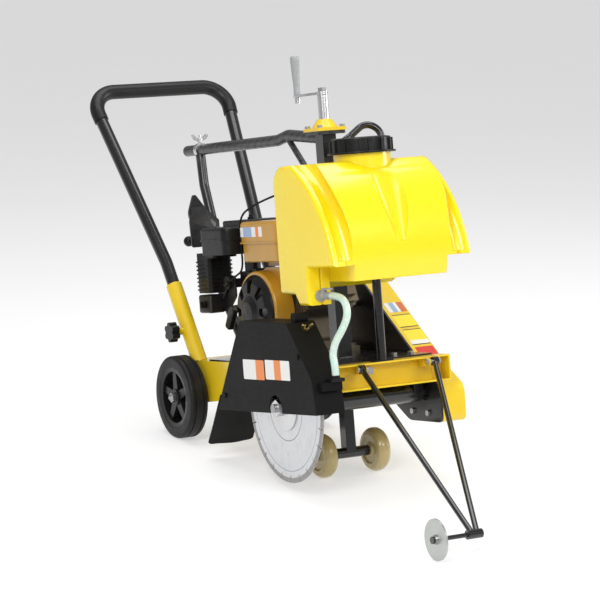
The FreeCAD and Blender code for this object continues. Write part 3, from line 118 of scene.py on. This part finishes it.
def add_studio():
    scene_world = bpy.data.worlds.new("studio")
    bpy.context.scene.world = scene_world
    scene_world.use_nodes = True
    tree = scene_world.node_tree
    background = tree.nodes["Background"]
    background.inputs["Color"].default_value = (1.0, 1.0, 1.0, 1)
    rays = tree.nodes.new("ShaderNodeLightPath")
    strength = tree.nodes.new("ShaderNodeMapRange")
    strength.inputs["To Min"].default_value = AMBIENT
    strength.inputs["To Max"].default_value = BACKDROP
    tree.links.new(rays.outputs["Is Camera Ray"], strength.inputs["Value"])
    tree.links.new(strength.outputs["Result"], background.inputs["Strength"])
    for light in LIGHTS:
        add_area_light(*light)
    view = bpy.context.scene.view_settings
    view.view_transform = "Standard"
    view.exposure = 0.0


# ---------------------------------------------------------------- materials
class Nodes:
    """Small helper for building one node material."""

    def __init__(self, name):
        self.material = bpy.data.materials.new(name)
        self.material.use_nodes = True
        self.tree = self.material.node_tree
        self.shader = self.tree.nodes["Principled BSDF"]
        self.place = self.add("ShaderNodeTexCoord").outputs["Object"]

    def add(self, kind, **values):
        node = self.tree.nodes.new(kind)
        for key, value in values.items():
            if key in node.inputs:
                node.inputs[key].default_value = value
            else:
                setattr(node, key, value)
        return node

    def link(self, source, target):
        self.tree.links.new(source, target)

    def noise(self, scale, detail=4.0, rough=0.55, stretch=(1, 1, 1)):
        node = self.add("ShaderNodeTexNoise", Scale=scale, Detail=detail, Roughness=rough)
        mapping = self.add("ShaderNodeMapping", Scale=stretch)
        self.link(self.place, mapping.inputs["Vector"])
        self.link(mapping.outputs["Vector"], node.inputs["Vector"])
        return node.outputs["Fac"]

    def ramp(self, source, stops):
        node = self.add("ShaderNodeValToRGB")
        ramp = node.color_ramp
        while len(ramp.elements) < len(stops):
            ramp.elements.new(0.5)
        for element, (position, colour) in zip(ramp.elements, stops):
            element.position = position
            element.color = colour if len(colour) == 4 else (*colour, 1)
        self.link(source, node.inputs["Fac"])
        return node.outputs["Color"]

    def grey(self, source, low, high, start=0.3, end=0.7):
        return self.ramp(source, [(start, (low,) * 3), (end, (high,) * 3)])

    def mix(self, factor, first, second, blend="MIX"):
        node = self.add("ShaderNodeMix", data_type="RGBA", blend_type=blend)
        for value, socket in ((factor, node.inputs[0]), (first, node.inputs[6]), (second, node.inputs[7])):
            if hasattr(value, "links"):
                self.link(value, socket)
            elif isinstance(value, tuple):
                socket.default_value = value if len(value) == 4 else (*value, 1)
            else:
                socket.default_value = value
        return node.outputs[2]

    def math(self, operation, first, second=0.0, third=0.0):
        node = self.add("ShaderNodeMath", operation=operation)
        for value, socket in zip((first, second, third), node.inputs):
            if hasattr(value, "links"):
                self.link(value, socket)
            else:
                socket.default_value = value
        return node.outputs[0]

    def axes(self):
        node = self.add("ShaderNodeSeparateXYZ")
        self.link(self.place, node.inputs[0])
        return node.outputs

    def edges(self, radius=0.0015):
        """0 on flats, rising within the given radius of an edge."""
        bevel = self.add("ShaderNodeBevel", samples=4, Radius=radius)
        geometry = self.add("ShaderNodeNewGeometry")
        dot = self.add("ShaderNodeVectorMath", operation="DOT_PRODUCT")
        self.link(bevel.outputs[0], dot.inputs[0])
        self.link(geometry.outputs["Normal"], dot.inputs[1])
        return self.math("SUBTRACT", 1.0, dot.outputs["Value"])

    def bump(self, source, strength, distance=0.0005):
        node = self.add("ShaderNodeBump", Strength=strength, Distance=distance)
        self.link(source, node.inputs["Height"])
        self.link(node.outputs["Normal"], self.shader.inputs["Normal"])
        return node

    def set(self, **values):
        for key, value in values.items():
            socket = self.shader.inputs[key.replace("_", " ")]
            if hasattr(value, "links"):
                self.link(value, socket)
            elif isinstance(value, tuple) and len(value) == 3 and socket.type == "RGBA":
                socket.default_value = (*value, 1)
            else:
                socket.default_value = value


def painted(name, colour, dark, rough, chip=None, orange_peel=0.05, coat=0.3, shine=0.5):
    """Sprayed or powder-coated steel with dust, small scuffs and worn edges."""
    n = Nodes(name)
    broad = n.noise(9, 5)
    fine = n.noise(650, 2)
    scuff = n.noise(45, 8, 0.75, (1, 1, 3))
    base = n.mix(n.grey(broad, 0.0, 1.0, 0.35, 0.7), colour, dark)
    base = n.mix(n.grey(scuff, 0.0, 0.4, 0.62, 0.74), base, tuple(min(1, c * 1.2 + 0.004) for c in colour))
    if chip:
        worn = n.math("MULTIPLY", n.edges(0.0009), 2.0)
        worn = n.math("MULTIPLY", worn, n.grey(n.noise(60, 6, 0.7), 0.0, 0.8, 0.54, 0.7))
        base = n.mix(worn, base, chip)
    n.set(Base_Color=base, Roughness=n.grey(scuff, rough - 0.05, rough + 0.08), Coat_Weight=coat,
          Coat_Roughness=0.12, Specular_IOR_Level=shine)
    peel = n.bump(fine, orange_peel, 0.0002)
    bevel = n.add("ShaderNodeBevel", samples=3, Radius=0.0008)
    n.link(bevel.outputs[0], peel.inputs["Normal"])
    return n.material


def plastic(name, colour, rough, grain=0.25, grain_scale=700, subsurface=0.0, coat=0.0, lift=0.02,
            shine=0.5):
    """Moulded plastic or rubber with fine grain, handling polish and a little dust."""
    n = Nodes(name)
    grain_map = n.noise(grain_scale, 2)
    broad = n.noise(14, 5)
    dust = n.noise(70, 8, 0.7)
    light = tuple(min(1, c + lift) for c in colour)
    base = n.mix(n.grey(broad, 0.0, 1.0, 0.3, 0.75), colour, light)
    base = n.mix(n.grey(dust, 0.0, 0.35, 0.6, 0.8), base, tuple(min(1, c + 2 * lift) for c in light))
    n.set(Base_Color=base, Roughness=n.grey(dust, rough - 0.07, rough + 0.1), Coat_Weight=coat,
          Subsurface_Weight=subsurface, Subsurface_Scale=0.01, Specular_IOR_Level=shine)
    peel = n.bump(grain_map, grain, 0.0002)
    bevel = n.add("ShaderNodeBevel", samples=3, Radius=0.001)
    n.link(bevel.outputs[0], peel.inputs["Normal"])
    return n.material


def metal(name, colour, rough, brushed=(1, 1, 1), brush_scale=500, stain=(0.25, 0.2, 0.16), spots=0.3,
          relief=0.1):
    """Bare or plated metal: brushed grain, stains and uneven polish."""
    n = Nodes(name)
    grain = n.noise(brush_scale, 3, 0.6, brushed)
    broad = n.noise(22, 6)
    spot = n.noise(120, 6, 0.75)
    base = n.mix(n.grey(broad, 0.0, 0.4, 0.4, 0.75), colour, tuple(c * 0.75 for c in colour))
    base = n.mix(n.grey(spot, 0.0, spots, 0.6, 0.72), base, stain)
    n.set(Base_Color=base, Metallic=1.0, Roughness=n.grey(grain, rough - 0.08, rough + 0.14))
    peel = n.bump(grain, relief, 0.0002)
    bevel = n.add("ShaderNodeBevel", samples=3, Radius=0.0006)
    n.link(bevel.outputs[0], peel.inputs["Normal"])
    return n.material


SEGMENT_R = 0.1635          # radius of the foot of the diamond segments, in metres
INNER_LINE_R = 0.078        # radii and half widths of the two turned lines
OUTER_LINE_R = 0.148
INNER_LINE_HALF = 0.0012
OUTER_LINE_HALF = 0.0008


def blade_steel(centre):
    """Ground blade steel: rings of polish about the hub, two dark turned lines, darker diamond segments."""
    n = Nodes("blade_steel")
    offset = n.add("ShaderNodeVectorMath", operation="SUBTRACT")
    offset.inputs[1].default_value = centre
    n.link(n.place, offset.inputs[0])
    split = n.add("ShaderNodeSeparateXYZ")
    n.link(offset.outputs[0], split.inputs[0])
    squares = [n.math("POWER", split.outputs[axis], 2) for axis in (1, 2)]
    radius = n.math("SQRT", n.math("ADD", *squares))
    rings = n.add("ShaderNodeTexNoise", noise_dimensions="1D", Scale=900.0, Detail=5.0)
    n.link(radius, rings.inputs["W"])
    rim = n.math("GREATER_THAN", radius, SEGMENT_R)
    base = n.mix(n.grey(rings.outputs["Fac"], 0.0, 0.6), (0.70, 0.71, 0.73), (0.52, 0.53, 0.55))
    grit = n.noise(1400, 2)
    base = n.mix(rim, base, n.ramp(grit, [(0.35, (0.26, 0.26, 0.27)), (0.65, (0.50, 0.49, 0.47))]))
    line = n.math("LESS_THAN", n.math("ABSOLUTE", n.math("SUBTRACT", radius, INNER_LINE_R)), INNER_LINE_HALF)
    band = n.math("LESS_THAN", n.math("ABSOLUTE", n.math("SUBTRACT", radius, OUTER_LINE_R)), OUTER_LINE_HALF)
    base = n.mix(n.math("MULTIPLY", n.math("MAXIMUM", line, band), 0.7), base, (0.14, 0.14, 0.15))
    smear = n.noise(30, 6, 0.7)
    base = n.mix(n.grey(smear, 0.0, 0.35, 0.5, 0.75), base, (0.36, 0.34, 0.31))
    rough = n.math("ADD", n.grey(rings.outputs["Fac"], 0.22, 0.38), n.math("MULTIPLY", rim, 0.25))
    n.set(Base_Color=base, Metallic=0.9, Roughness=rough)
    n.bump(n.mix(rim, rings.outputs["Fac"], grit), 0.15, 0.0003)
    return n.material


def tank_plastic():
    """Rotationally moulded tank: deep glossy colour, faint ripple of the mould and fine surface dust."""
    n = Nodes("tank_yellow")
    broad = n.noise(5, 3)
    dust = n.noise(90, 6, 0.7)
    base = n.mix(n.grey(broad, 0.0, 1.0, 0.3, 0.7), (0.92, 0.67, 0.003), (0.94, 0.70, 0.005))
    n.set(Base_Color=base, Roughness=n.grey(dust, 0.25, 0.28), Coat_Weight=0.6, Coat_Roughness=0.14,
          Subsurface_Weight=0.2, Subsurface_Scale=0.015)
    ripple = n.bump(n.noise(16, 2), 0.10, 0.0015)
    bevel = n.add("ShaderNodeBevel", samples=4, Radius=0.004)
    n.link(bevel.outputs[0], ripple.inputs["Normal"])
    return n.material


RAIL_UNDERSIDE = 0.64       # lowest point of the wrapped part of the rail, in metres


def wrapped_rail(body_low, body_high):
    """Rubber-wrapped rail: slanting turns of tape, dull black with rubbed edges."""
    n = Nodes("wrapped_rail")
    wave = n.add("ShaderNodeTexWave", Scale=22.0, Distortion=1.6, Detail=2.0, bands_direction="DIAGONAL")
    n.link(n.place, wave.inputs["Vector"])
    fine = n.noise(500, 3)
    on_rail = n.math("GREATER_THAN", n.axes()[2], RAIL_UNDERSIDE)
    turns = n.math("MULTIPLY", wave.outputs["Fac"], on_rail)
    base = n.mix(n.grey(turns, 0.0, 1.0, 0.1, 0.5), body_low, body_high)
    n.set(Base_Color=base, Roughness=n.grey(n.noise(60, 5), 0.28, 0.45), Coat_Weight=0.3)
    n.bump(n.math("ADD", n.math("MULTIPLY", turns, 0.6), n.math("MULTIPLY", fine, 0.1)), 0.4, 0.001)
    return n.material


def banded(name, bands, axis=0, rough=0.32):
    """Printed film in plain bands along its own length; each band is (end, colour) from the low side."""
    n = Nodes(name)
    node = n.add("ShaderNodeValToRGB")
    ramp = node.color_ramp
    ramp.interpolation = "CONSTANT"
    while len(ramp.elements) < len(bands):
        ramp.elements.new(0.5)
    start = 0.0
    for element, (end, colour) in zip(ramp.elements, bands):
        element.position = start
        element.color = (*colour, 1)
        start = end
    generated = n.tree.nodes["Texture Coordinate"].outputs["Generated"]
    split = n.add("ShaderNodeSeparateXYZ")
    n.link(generated, split.inputs[0])
    n.link(split.outputs[axis], node.inputs["Fac"])
    rub = n.noise(180, 7, 0.75)
    base = n.mix(n.grey(rub, 0.0, 0.3, 0.64, 0.8), node.outputs["Color"], (0.30, 0.28, 0.25))
    n.set(Base_Color=base, Roughness=n.grey(rub, rough - 0.05, rough + 0.15), Coat_Weight=0.25)
    n.bump(n.noise(500, 3), 0.08, 0.0002)
    return n.material


def hose_plastic():
    """Soft, slightly milky green hose."""
    n = Nodes("hose_plastic")
    n.set(Base_Color=n.mix(n.grey(n.noise(60, 4), 0.0, 1.0), (0.60, 0.75, 0.66), (0.64, 0.78, 0.69)),
          Roughness=n.grey(n.noise(90, 5), 0.16, 0.32), Subsurface_Weight=0.5, Subsurface_Scale=0.006,
          Transmission_Weight=0.08, Coat_Weight=0.4)
    n.bump(n.noise(500, 2), 0.1, 0.0002)
    return n.material


def build_materials():
    """One material for each finish named in NODE_FINISH."""
    low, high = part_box("blade")
    centre = tuple((low + high) / 2)
    grey_chip = (0.20, 0.19, 0.18)      # what shows where paint is worn off an edge
    dark_chip = (0.03, 0.03, 0.03)
    return {
        "yellow": painted("yellow_paint", (0.82, 0.57, 0.012), dark=(0.75, 0.51, 0.01), rough=0.32,
                          chip=grey_chip, orange_peel=0.06, coat=0.5),
        "tank": tank_plastic(),
        "wrap": wrapped_rail((0.010, 0.010, 0.011), (0.030, 0.030, 0.031)),
        "gold": painted("gold_paint", (0.56, 0.285, 0.020), dark=(0.46, 0.235, 0.015), rough=0.32,
                        chip=grey_chip, orange_peel=0.08, coat=0.5),
        "black": painted("black_paint", (0.006, 0.006, 0.007), dark=(0.009, 0.009, 0.010), rough=0.22,
                         chip=dark_chip, orange_peel=0.05, coat=0.5),
        "matte_black": painted("black_powder", (0.006, 0.006, 0.006), dark=(0.009, 0.009, 0.009), rough=0.45,
                               chip=dark_chip, orange_peel=0.10, coat=0.0, shine=0.08),
        "plastic": plastic("black_plastic", (0.007, 0.007, 0.007), 0.30, grain=0.2, grain_scale=900,
                           coat=0.05, lift=0.004, shine=0.24),
        "foam": plastic("foam_grip", (0.008, 0.008, 0.008), 0.36, grain=0.4, grain_scale=420,
                        lift=0.004, shine=0.30),
        "rubber": plastic("black_rubber", (0.006, 0.006, 0.006), 0.42, grain=0.3, grain_scale=300,
                          lift=0.004, shine=0.15),
        "tyre": plastic("tyre_rubber", (0.008, 0.008, 0.008), 0.46, grain=0.4, grain_scale=350,
                        lift=0.006, shine=0.25),
        "tan": plastic("tan_polyurethane", (0.42, 0.33, 0.13), 0.28, grain=0.1, grain_scale=300,
                       subsurface=0.15, coat=0.5, lift=0.03),
        "disc": metal("disc_steel", (0.50, 0.52, 0.50), 0.34, brushed=(1, 8, 1), brush_scale=400,
                      stain=(0.30, 0.28, 0.24), spots=0.4),
        "steel": metal("bright_steel", (0.66, 0.66, 0.67), 0.24, brushed=(1, 1, 8)),
        "dull_steel": metal("dull_steel", (0.42, 0.42, 0.43), 0.38, brushed=(8, 1, 1), brush_scale=300,
                            stain=(0.16, 0.1, 0.06), spots=0.4),
        "zinc": metal("yellow_zinc", (0.70, 0.55, 0.22), 0.28, brushed=(1, 1, 8)),
        "alloy": metal("cast_alloy", (0.24, 0.20, 0.15), 0.45, brush_scale=260,
                       stain=(0.06, 0.05, 0.04), spots=0.6, relief=0.5),
        "dark_alloy": metal("dark_alloy", (0.06, 0.06, 0.06), 0.42, brush_scale=220,
                            stain=(0.02, 0.02, 0.02), spots=0.6, relief=0.4),
        "iron": metal("cast_iron", (0.20, 0.20, 0.21), 0.48, brush_scale=200,
                      stain=(0.14, 0.08, 0.05), spots=0.5, relief=0.4),
        "soot": metal("muffler_steel", (0.25, 0.22, 0.19), 0.5, brush_scale=150,
                      stain=(0.10, 0.06, 0.04), spots=0.7, relief=0.3),
        "blade": blade_steel(centre),
        "grey": plastic("grey_plastic", (0.30, 0.31, 0.32), 0.36, grain=0.3, grain_scale=600, coat=0.2),
        "hose": hose_plastic(),
    }


NODE_FINISH = {
    "yellow": "main_frame front_channel belt_cover column_flange",
    "tank": "water_tank",
    "gold": "blower_housing fuel_tank",
    "black": "handle_tube column_tube pointer_arm shaft_housing belt_back_plate tank_supports "
             "throttle_lever deck_plate front_leg",
    "matte_black": "blade_guard",
    "wrap": "top_rail",
    "zinc": "guard_wing_nut",
    "plastic": "recoil_cover air_cleaner tank_cap handle_knob_left handle_knob_right recoil_grip fuel_cap "
               "post_knob engine_switch rear_wheel_left rear_wheel_right",
    "foam": "handle_grip",
    "rubber": "guard_flap drive_belts throttle_cable",
    "tyre": "rear_tyre_left rear_tyre_right",
    "tan": "front_wheel_left front_wheel_right",
    "disc": "pointer_wheel",
    "steel": "screw_sleeve rail_clamp rail_wing_nut frame_bolts blade_flanges "
             "crank_arm",
    "dull_steel": "rear_axle front_axle lift_screw blade_shaft crankshaft",
    "alloy": "engine_block",
    "dark_alloy": "carburettor",
    "soot": "muffler",
    "iron": "driven_pulley drive_pulley",
    "blade": "blade",
    "grey": "crank_grip water_fittings valve_lever",
    "hose": "water_hose",
}


GUARD_FACE = -0.2255        # bolts further left than this sit on the guard, in metres
TAP_UNDERSIDE = 0.38        # the hose elbow lies below this height, the tap above it


def finish_cad(materials):
    """Gives every CAD node its finish, with sharp edges kept sharp."""
    for key, names in NODE_FINISH.items():
        for name in names.split():
            obj = frame["nodes"][name]
            obj.data.materials.clear()
            obj.data.materials.append(materials[key])
            weld = obj.modifiers.new("weld", "WELD")
            weld.merge_threshold = 0.00001
            for polygon in obj.data.polygons:
                polygon.use_smooth = True
            smooth = obj.modifiers.new("edge split", "EDGE_SPLIT")
            smooth.split_angle = math.radians(32)
    repaint("frame_bolts", materials["matte_black"], lambda centre: centre.x < GUARD_FACE)
    repaint("water_fittings", materials["plastic"], lambda centre: centre.z < TAP_UNDERSIDE)


def repaint(name, material, chosen):
    """Gives some faces of a CAD node a second material."""
    mesh = frame["nodes"][name].data
    mesh.materials.append(material)
    for polygon in mesh.polygons:
        if chosen(polygon.center):
            polygon.material_index = 1


# ---------------------------------------------------------------- drawn pieces
def face_out(mesh):
    """Turns every face of a closed mesh outwards."""
    edit = bmesh.new()
    edit.from_mesh(mesh)
    bmesh.ops.recalc_face_normals(edit, faces=edit.faces)
    edit.to_mesh(mesh)
    edit.free()


FILM_THICK = 0.25           # mm, as are the two below
FILM_CORNER_R = 3.0
FILM_CLEARANCE = 0.05
FILM_CORNER_STEPS = 4


def film(name, centre, across, up, size, material):
    """Thin film with rounded corners lying on a flat.

    The centre and the two directions are in machine coordinates, the size is in millimetres.
    """
    half_w, half_h = size[0] / 2, size[1] / 2
    mesh = bpy.data.meshes.new(name)
    rim = []
    for corner, (sx, sy) in enumerate(((1, 1), (-1, 1), (-1, -1), (1, -1))):
        for step in range(FILM_CORNER_STEPS + 1):
            angle = math.radians(90 * corner + 90 / FILM_CORNER_STEPS * step)
            rim.append((sx * (half_w - FILM_CORNER_R) + FILM_CORNER_R * math.cos(angle),
                        sy * (half_h - FILM_CORNER_R) + FILM_CORNER_R * math.sin(angle)))
    count = len(rim)
    points = [(x / 1000, y / 1000, 0.0) for x, y in rim]
    points += [(x / 1000, y / 1000, FILM_THICK / 1000) for x, y in rim]
    faces = [tuple(range(count, 2 * count)), tuple(reversed(range(count)))]
    faces += [(i, (i + 1) % count, (i + 1) % count + count, i + count) for i in range(count)]
    mesh.from_pydata(points, [], faces)
    face_out(mesh)
    origin = world(*centre)
    x_axis = (world(*(a + b for a, b in zip(centre, across))) - origin).normalized()
    y_axis = (world(*(a + b for a, b in zip(centre, up))) - origin).normalized()
    z_axis = x_axis.cross(y_axis)
    place = Matrix((x_axis, y_axis, z_axis)).transposed().to_4x4()
    place.translation = origin + z_axis * FILM_CLEARANCE / 1000
    mesh.materials.append(material)
    obj = bpy.data.objects.new(name, mesh)
    obj.matrix_world = place
    bpy.context.scene.collection.objects.link(obj)
    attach(obj, "chassis")


WHITE = (0.80, 0.79, 0.76)
ORANGE = (0.80, 0.22, 0.03)
YELLOW = (0.90, 0.72, 0.02)
DARK = (0.03, 0.03, 0.035)
RED = (0.62, 0.03, 0.02)
RUST = (0.60, 0.14, 0.04)
PALE_BLUE = (0.30, 0.42, 0.62)


COVER_TOP = (199, 315, 277)                  # top of the belt cover's sloping face
COVER_SLOPE = (297 / 376.9, 232 / 376.9)     # direction down that face, forwards and downwards


def add_films():
    """Plain coloured films where such a machine carries its notices, with no marks on them."""
    along, up = (0, 1, 0), (0, 0, 1)
    rear = banded("film_white_orange", [(0.60, WHITE), (1.0, ORANGE)])
    front = banded("film_white_orange_white", [(0.36, WHITE), (0.63, ORANGE), (1.0, WHITE)])
    film("guard_film_rear", (-230, 487, 86), along, up, (104, 46), rear)
    film("guard_film_front", (-230, 604, 88), along, up, (118, 45), front)
    tank = banded("film_white_grey", [(0.14, WHITE), (0.52, PALE_BLUE), (0.70, WHITE), (0.84, ORANGE),
                                      (1.0, WHITE)])
    film("fuel_tank_film", (-89, 254, 399), along, up, (112, 24), tank)
    slope = (0, -COVER_SLOPE[0], COVER_SLOPE[1])
    for name, way, length, bands in (
            ("cover_film_top", 138, 36, [(0.22, WHITE), (0.5, PALE_BLUE), (0.66, WHITE), (1.0, RUST)]),
            ("cover_film_upper", 190, 48, [(0.06, DARK), (0.94, YELLOW), (1.0, DARK)]),
            ("cover_film_middle", 251, 58, [(0.05, DARK), (0.3, WHITE), (0.95, YELLOW), (1.0, DARK)]),
            ("cover_film_low", 304, 32, [(1.0, RED)])):
        material = banded(name + "_print", bands, 0 if name == "cover_film_top" else 1)
        centre = (COVER_TOP[0], COVER_TOP[1] + way * COVER_SLOPE[0], COVER_TOP[2] - way * COVER_SLOPE[1])
        film(name, centre, (1, 0, 0), slope, (50, length), material)


# Routes of the two cords: the control points of the modelled tubes, in machine coordinates.
HOSE_ROUTE = [(-152.0, 744.2, 252.0), (-152.0, 770.0, 252.0), (-152.0, 802.0, 242.0),
              (-154.0, 816.0, 212.0), (-162.0, 802.0, 180.0), (-171.0, 780.0, 152.0),
              (-176.0, 770.0, 124.0), (-175.0, 776.0, 100.0), (-175.0, 776.0, 76.0)]
HOSE_R = 8.5
CABLE_ROUTE = [(-74.0, 84.0, 276.0), (-74.0, 122.0, 290.0), (-78.0, 178.0, 306.0), (-80.0, 177.5, 374.0),
               (-78.0, 178.0, 438.0), (-62.0, 220.0, 462.0), (-46.0, 300.0, 482.0), (-24.0, 388.0, 500.0),
               (-6.0, 479.2, 510.0)]
CABLE_R = 2.5


CORD_ROUND_STEPS = 8        # fineness round a cord and along it
CORD_LENGTH_STEPS = 24


def add_cord(name, node, route, radius, material):
    """A smooth cord drawn over the modelled one."""
    curve = bpy.data.curves.new(name, "CURVE")
    curve.dimensions = "3D"
    curve.bevel_depth = radius / 1000
    curve.bevel_resolution = CORD_ROUND_STEPS
    curve.resolution_u = CORD_LENGTH_STEPS
    curve.use_fill_caps = True
    spline = curve.splines.new("NURBS")
    spline.points.add(len(route) - 1)
    for point, place in zip(spline.points, route):
        point.co = (*world(*place), 1)
    spline.order_u = 3
    spline.use_endpoint_u = True
    obj = bpy.data.objects.new(name, curve)
    bpy.context.scene.collection.objects.link(obj)
    curve.materials.append(material)
    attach(obj, "chassis")
    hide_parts(node)


def add_cords(materials):
    add_cord("hose_line", "water_hose", HOSE_ROUTE, HOSE_R, materials["hose"])
    add_cord("cable_line", "throttle_cable", CABLE_ROUTE, CABLE_R, materials["rubber"])


FLAP_FOOT = (284.0, -16.0)                  # (f, h) of the guard's rear lower edge
FLAP_UP = (148 / 261.0, 215 / 261.0)        # direction up the flap
FLAP_OUT = (-0.8237, 0.567)                 # direction away from the guard
FLAP_TOP = 42.0
FLAP_LENGTH = 150.0
FLAP_X = (-231.0, -110.0)
FLAP_THICK = 4.0
FLAP_CLAMPED = 0.3                          # share of its length that is held flat
FLAP_CURL = 5.0                             # mm by which its lower corners draw up
FLAP_WAVE = 2.0                             # mm of wave across it and of ripple down it
FLAP_RIPPLE = 1.2


def add_flap(materials):
    """Rubber flap: clamped flat at its top, then waving a little and curling at its free edge."""
    columns, rows = 34, 42
    mesh = bpy.data.meshes.new("mud_flap")
    points = []
    for side in (0, 1):
        for row in range(rows + 1):
            share = row / rows
            along = FLAP_TOP - share * FLAP_LENGTH
            free = max(0.0, share - FLAP_CLAMPED) / (1.0 - FLAP_CLAMPED)
            for column in range(columns + 1):
                across = column / columns
                inset = FLAP_CURL * max(0.0, abs(across - 0.5) * 2 - 0.8) ** 2 * free ** 3 / 0.04
                wave = FLAP_WAVE * free ** 2 * math.sin(across * 7.5 + 0.6)
                wave += FLAP_RIPPLE * free ** 2 * math.sin(share * 9)
                out = 0.1 + side * FLAP_THICK + wave
                f = FLAP_FOOT[0] + (along + inset) * FLAP_UP[0] + out * FLAP_OUT[0]
                h = FLAP_FOOT[1] + (along + inset) * FLAP_UP[1] + out * FLAP_OUT[1]
                x = FLAP_X[0] + across * (FLAP_X[1] - FLAP_X[0])
                points.append(world(x, f, h))
    width = columns + 1
    sheet = width * (rows + 1)
    faces = []
    for row in range(rows):
        for column in range(columns):
            a = row * width + column
            faces.append((a, a + 1, a + 1 + width, a + width))
            faces.append((a + sheet, a + width + sheet, a + 1 + width + sheet, a + 1 + sheet))
    border = list(range(width))
    border += [row * width + columns for row in range(1, rows + 1)]
    border += [rows * width + column for column in range(columns - 1, -1, -1)]
    border += [row * width for row in range(rows - 1, 0, -1)]
    for first, second in zip(border, border[1:] + border[:1]):
        faces.append((first, first + sheet, second + sheet, second))
    mesh.from_pydata(points, [], faces)
    face_out(mesh)
    for polygon in mesh.polygons:
        polygon.use_smooth = True
    obj = bpy.data.objects.new("mud_flap", mesh)
    bpy.context.scene.collection.objects.link(obj)
    mesh.materials.append(materials["rubber"])
    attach(obj, "chassis")
    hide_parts("guard_flap")


BEAD_SIDES = 10
BEAD_STEP = 0.0016          # metres between two rings
BEAD_RIPPLE = 0.22          # shares of the radius: even ripple and chance unevenness
BEAD_UNEVEN = 0.07


def add_bead(name, route, radius, material):
    """Weld bead: a rippled tube along a seam."""
    points = [world(*place) for place in route]
    mesh = bpy.data.meshes.new(name)
    rings, faces = [], []
    sides = BEAD_SIDES
    for start, end in zip(points[:-1], points[1:]):
        run = end - start
        count = max(4, int(run.length / BEAD_STEP))
        axis = run.normalized()
        first = axis.orthogonal().normalized()
        second = axis.cross(first)
        base = len(rings)
        for step in range(count + 1):
            ripple = 1.0 + BEAD_RIPPLE * math.sin(step * 1.5) + RANDOM.uniform(-BEAD_UNEVEN, BEAD_UNEVEN)
            taper = min(1.0, 0.35 + min(step, count - step) / 4.0)
            size = radius / 1000 * ripple * taper
            middle = start + run * (step / count)
            for side in range(sides):
                angle = 2 * math.pi * side / sides
                rings.append(middle + (first * math.cos(angle) + second * math.sin(angle)) * size)
        for step in range(count):
            for side in range(sides):
                a = base + step * sides + side
                b = base + step * sides + (side + 1) % sides
                faces.append((a, b, b + sides, a + sides))
        faces.append(tuple(base + side for side in reversed(range(sides))))
        faces.append(tuple(base + count * sides + side for side in range(sides)))
    mesh.from_pydata(rings, [], faces)
    face_out(mesh)
    for polygon in mesh.polygons:
        polygon.use_smooth = True
    obj = bpy.data.objects.new(name, mesh)
    bpy.context.scene.collection.objects.link(obj)
    mesh.materials.append(material)
    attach(obj, "chassis")


COLUMN_F = 498              # the column's axis, half its width and the height of its weld
COLUMN_HALF = 18.5
COLUMN_WELD_H = 92.5
CHANNEL_SEAM_X = 148.0      # where the channel meets the side rails, and the seam's ends
CHANNEL_SEAM_F = 659.5
CHANNEL_SEAM_H = (32, 86)


def add_beads(materials):
    """Weld seams round the column's foot and at the channel's two ends."""
    rear, front = COLUMN_F - COLUMN_HALF, COLUMN_F + COLUMN_HALF
    column = [(-COLUMN_HALF, rear, COLUMN_WELD_H), (COLUMN_HALF, rear, COLUMN_WELD_H),
              (COLUMN_HALF, front, COLUMN_WELD_H), (-COLUMN_HALF, front, COLUMN_WELD_H),
              (-COLUMN_HALF, rear, COLUMN_WELD_H)]
    add_bead("column_weld", column, 2.2, materials["black"])
    for x in (-CHANNEL_SEAM_X, CHANNEL_SEAM_X):
        seam = [(x, CHANNEL_SEAM_F, CHANNEL_SEAM_H[0]), (x, CHANNEL_SEAM_F, CHANNEL_SEAM_H[1])]
        add_bead("channel_weld_left" if x < 0 else "channel_weld_right", seam, 2.0, materials["yellow"])


def add_floor():
    """Plain pale floor."""
    bpy.ops.mesh.primitive_plane_add(size=60, location=(0, 0, 0))
    floor = bpy.context.active_object
    floor.name = "floor"
    n = Nodes("floor")
    n.set(Base_Color=n.mix(n.grey(n.noise(1.5, 3), 0.0, 1.0), (0.50, 0.50, 0.50), (0.52, 0.52, 0.52)),
          Roughness=n.grey(n.noise(30, 4), 0.6, 0.72), Specular_IOR_Level=0.2,
          Emission_Color=(1.0, 1.0, 1.0), Emission_Strength=FLOOR_GLOW)
    n.bump(n.noise(200, 3), 0.05, 0.0003)
    floor.data.materials.append(n.material)


add_camera()
add_studio()
MATERIALS = build_materials()
add_cords(MATERIALS)
finish_cad(MATERIALS)
add_films()
add_flap(MATERIALS)
add_beads(MATERIALS)
add_floor()
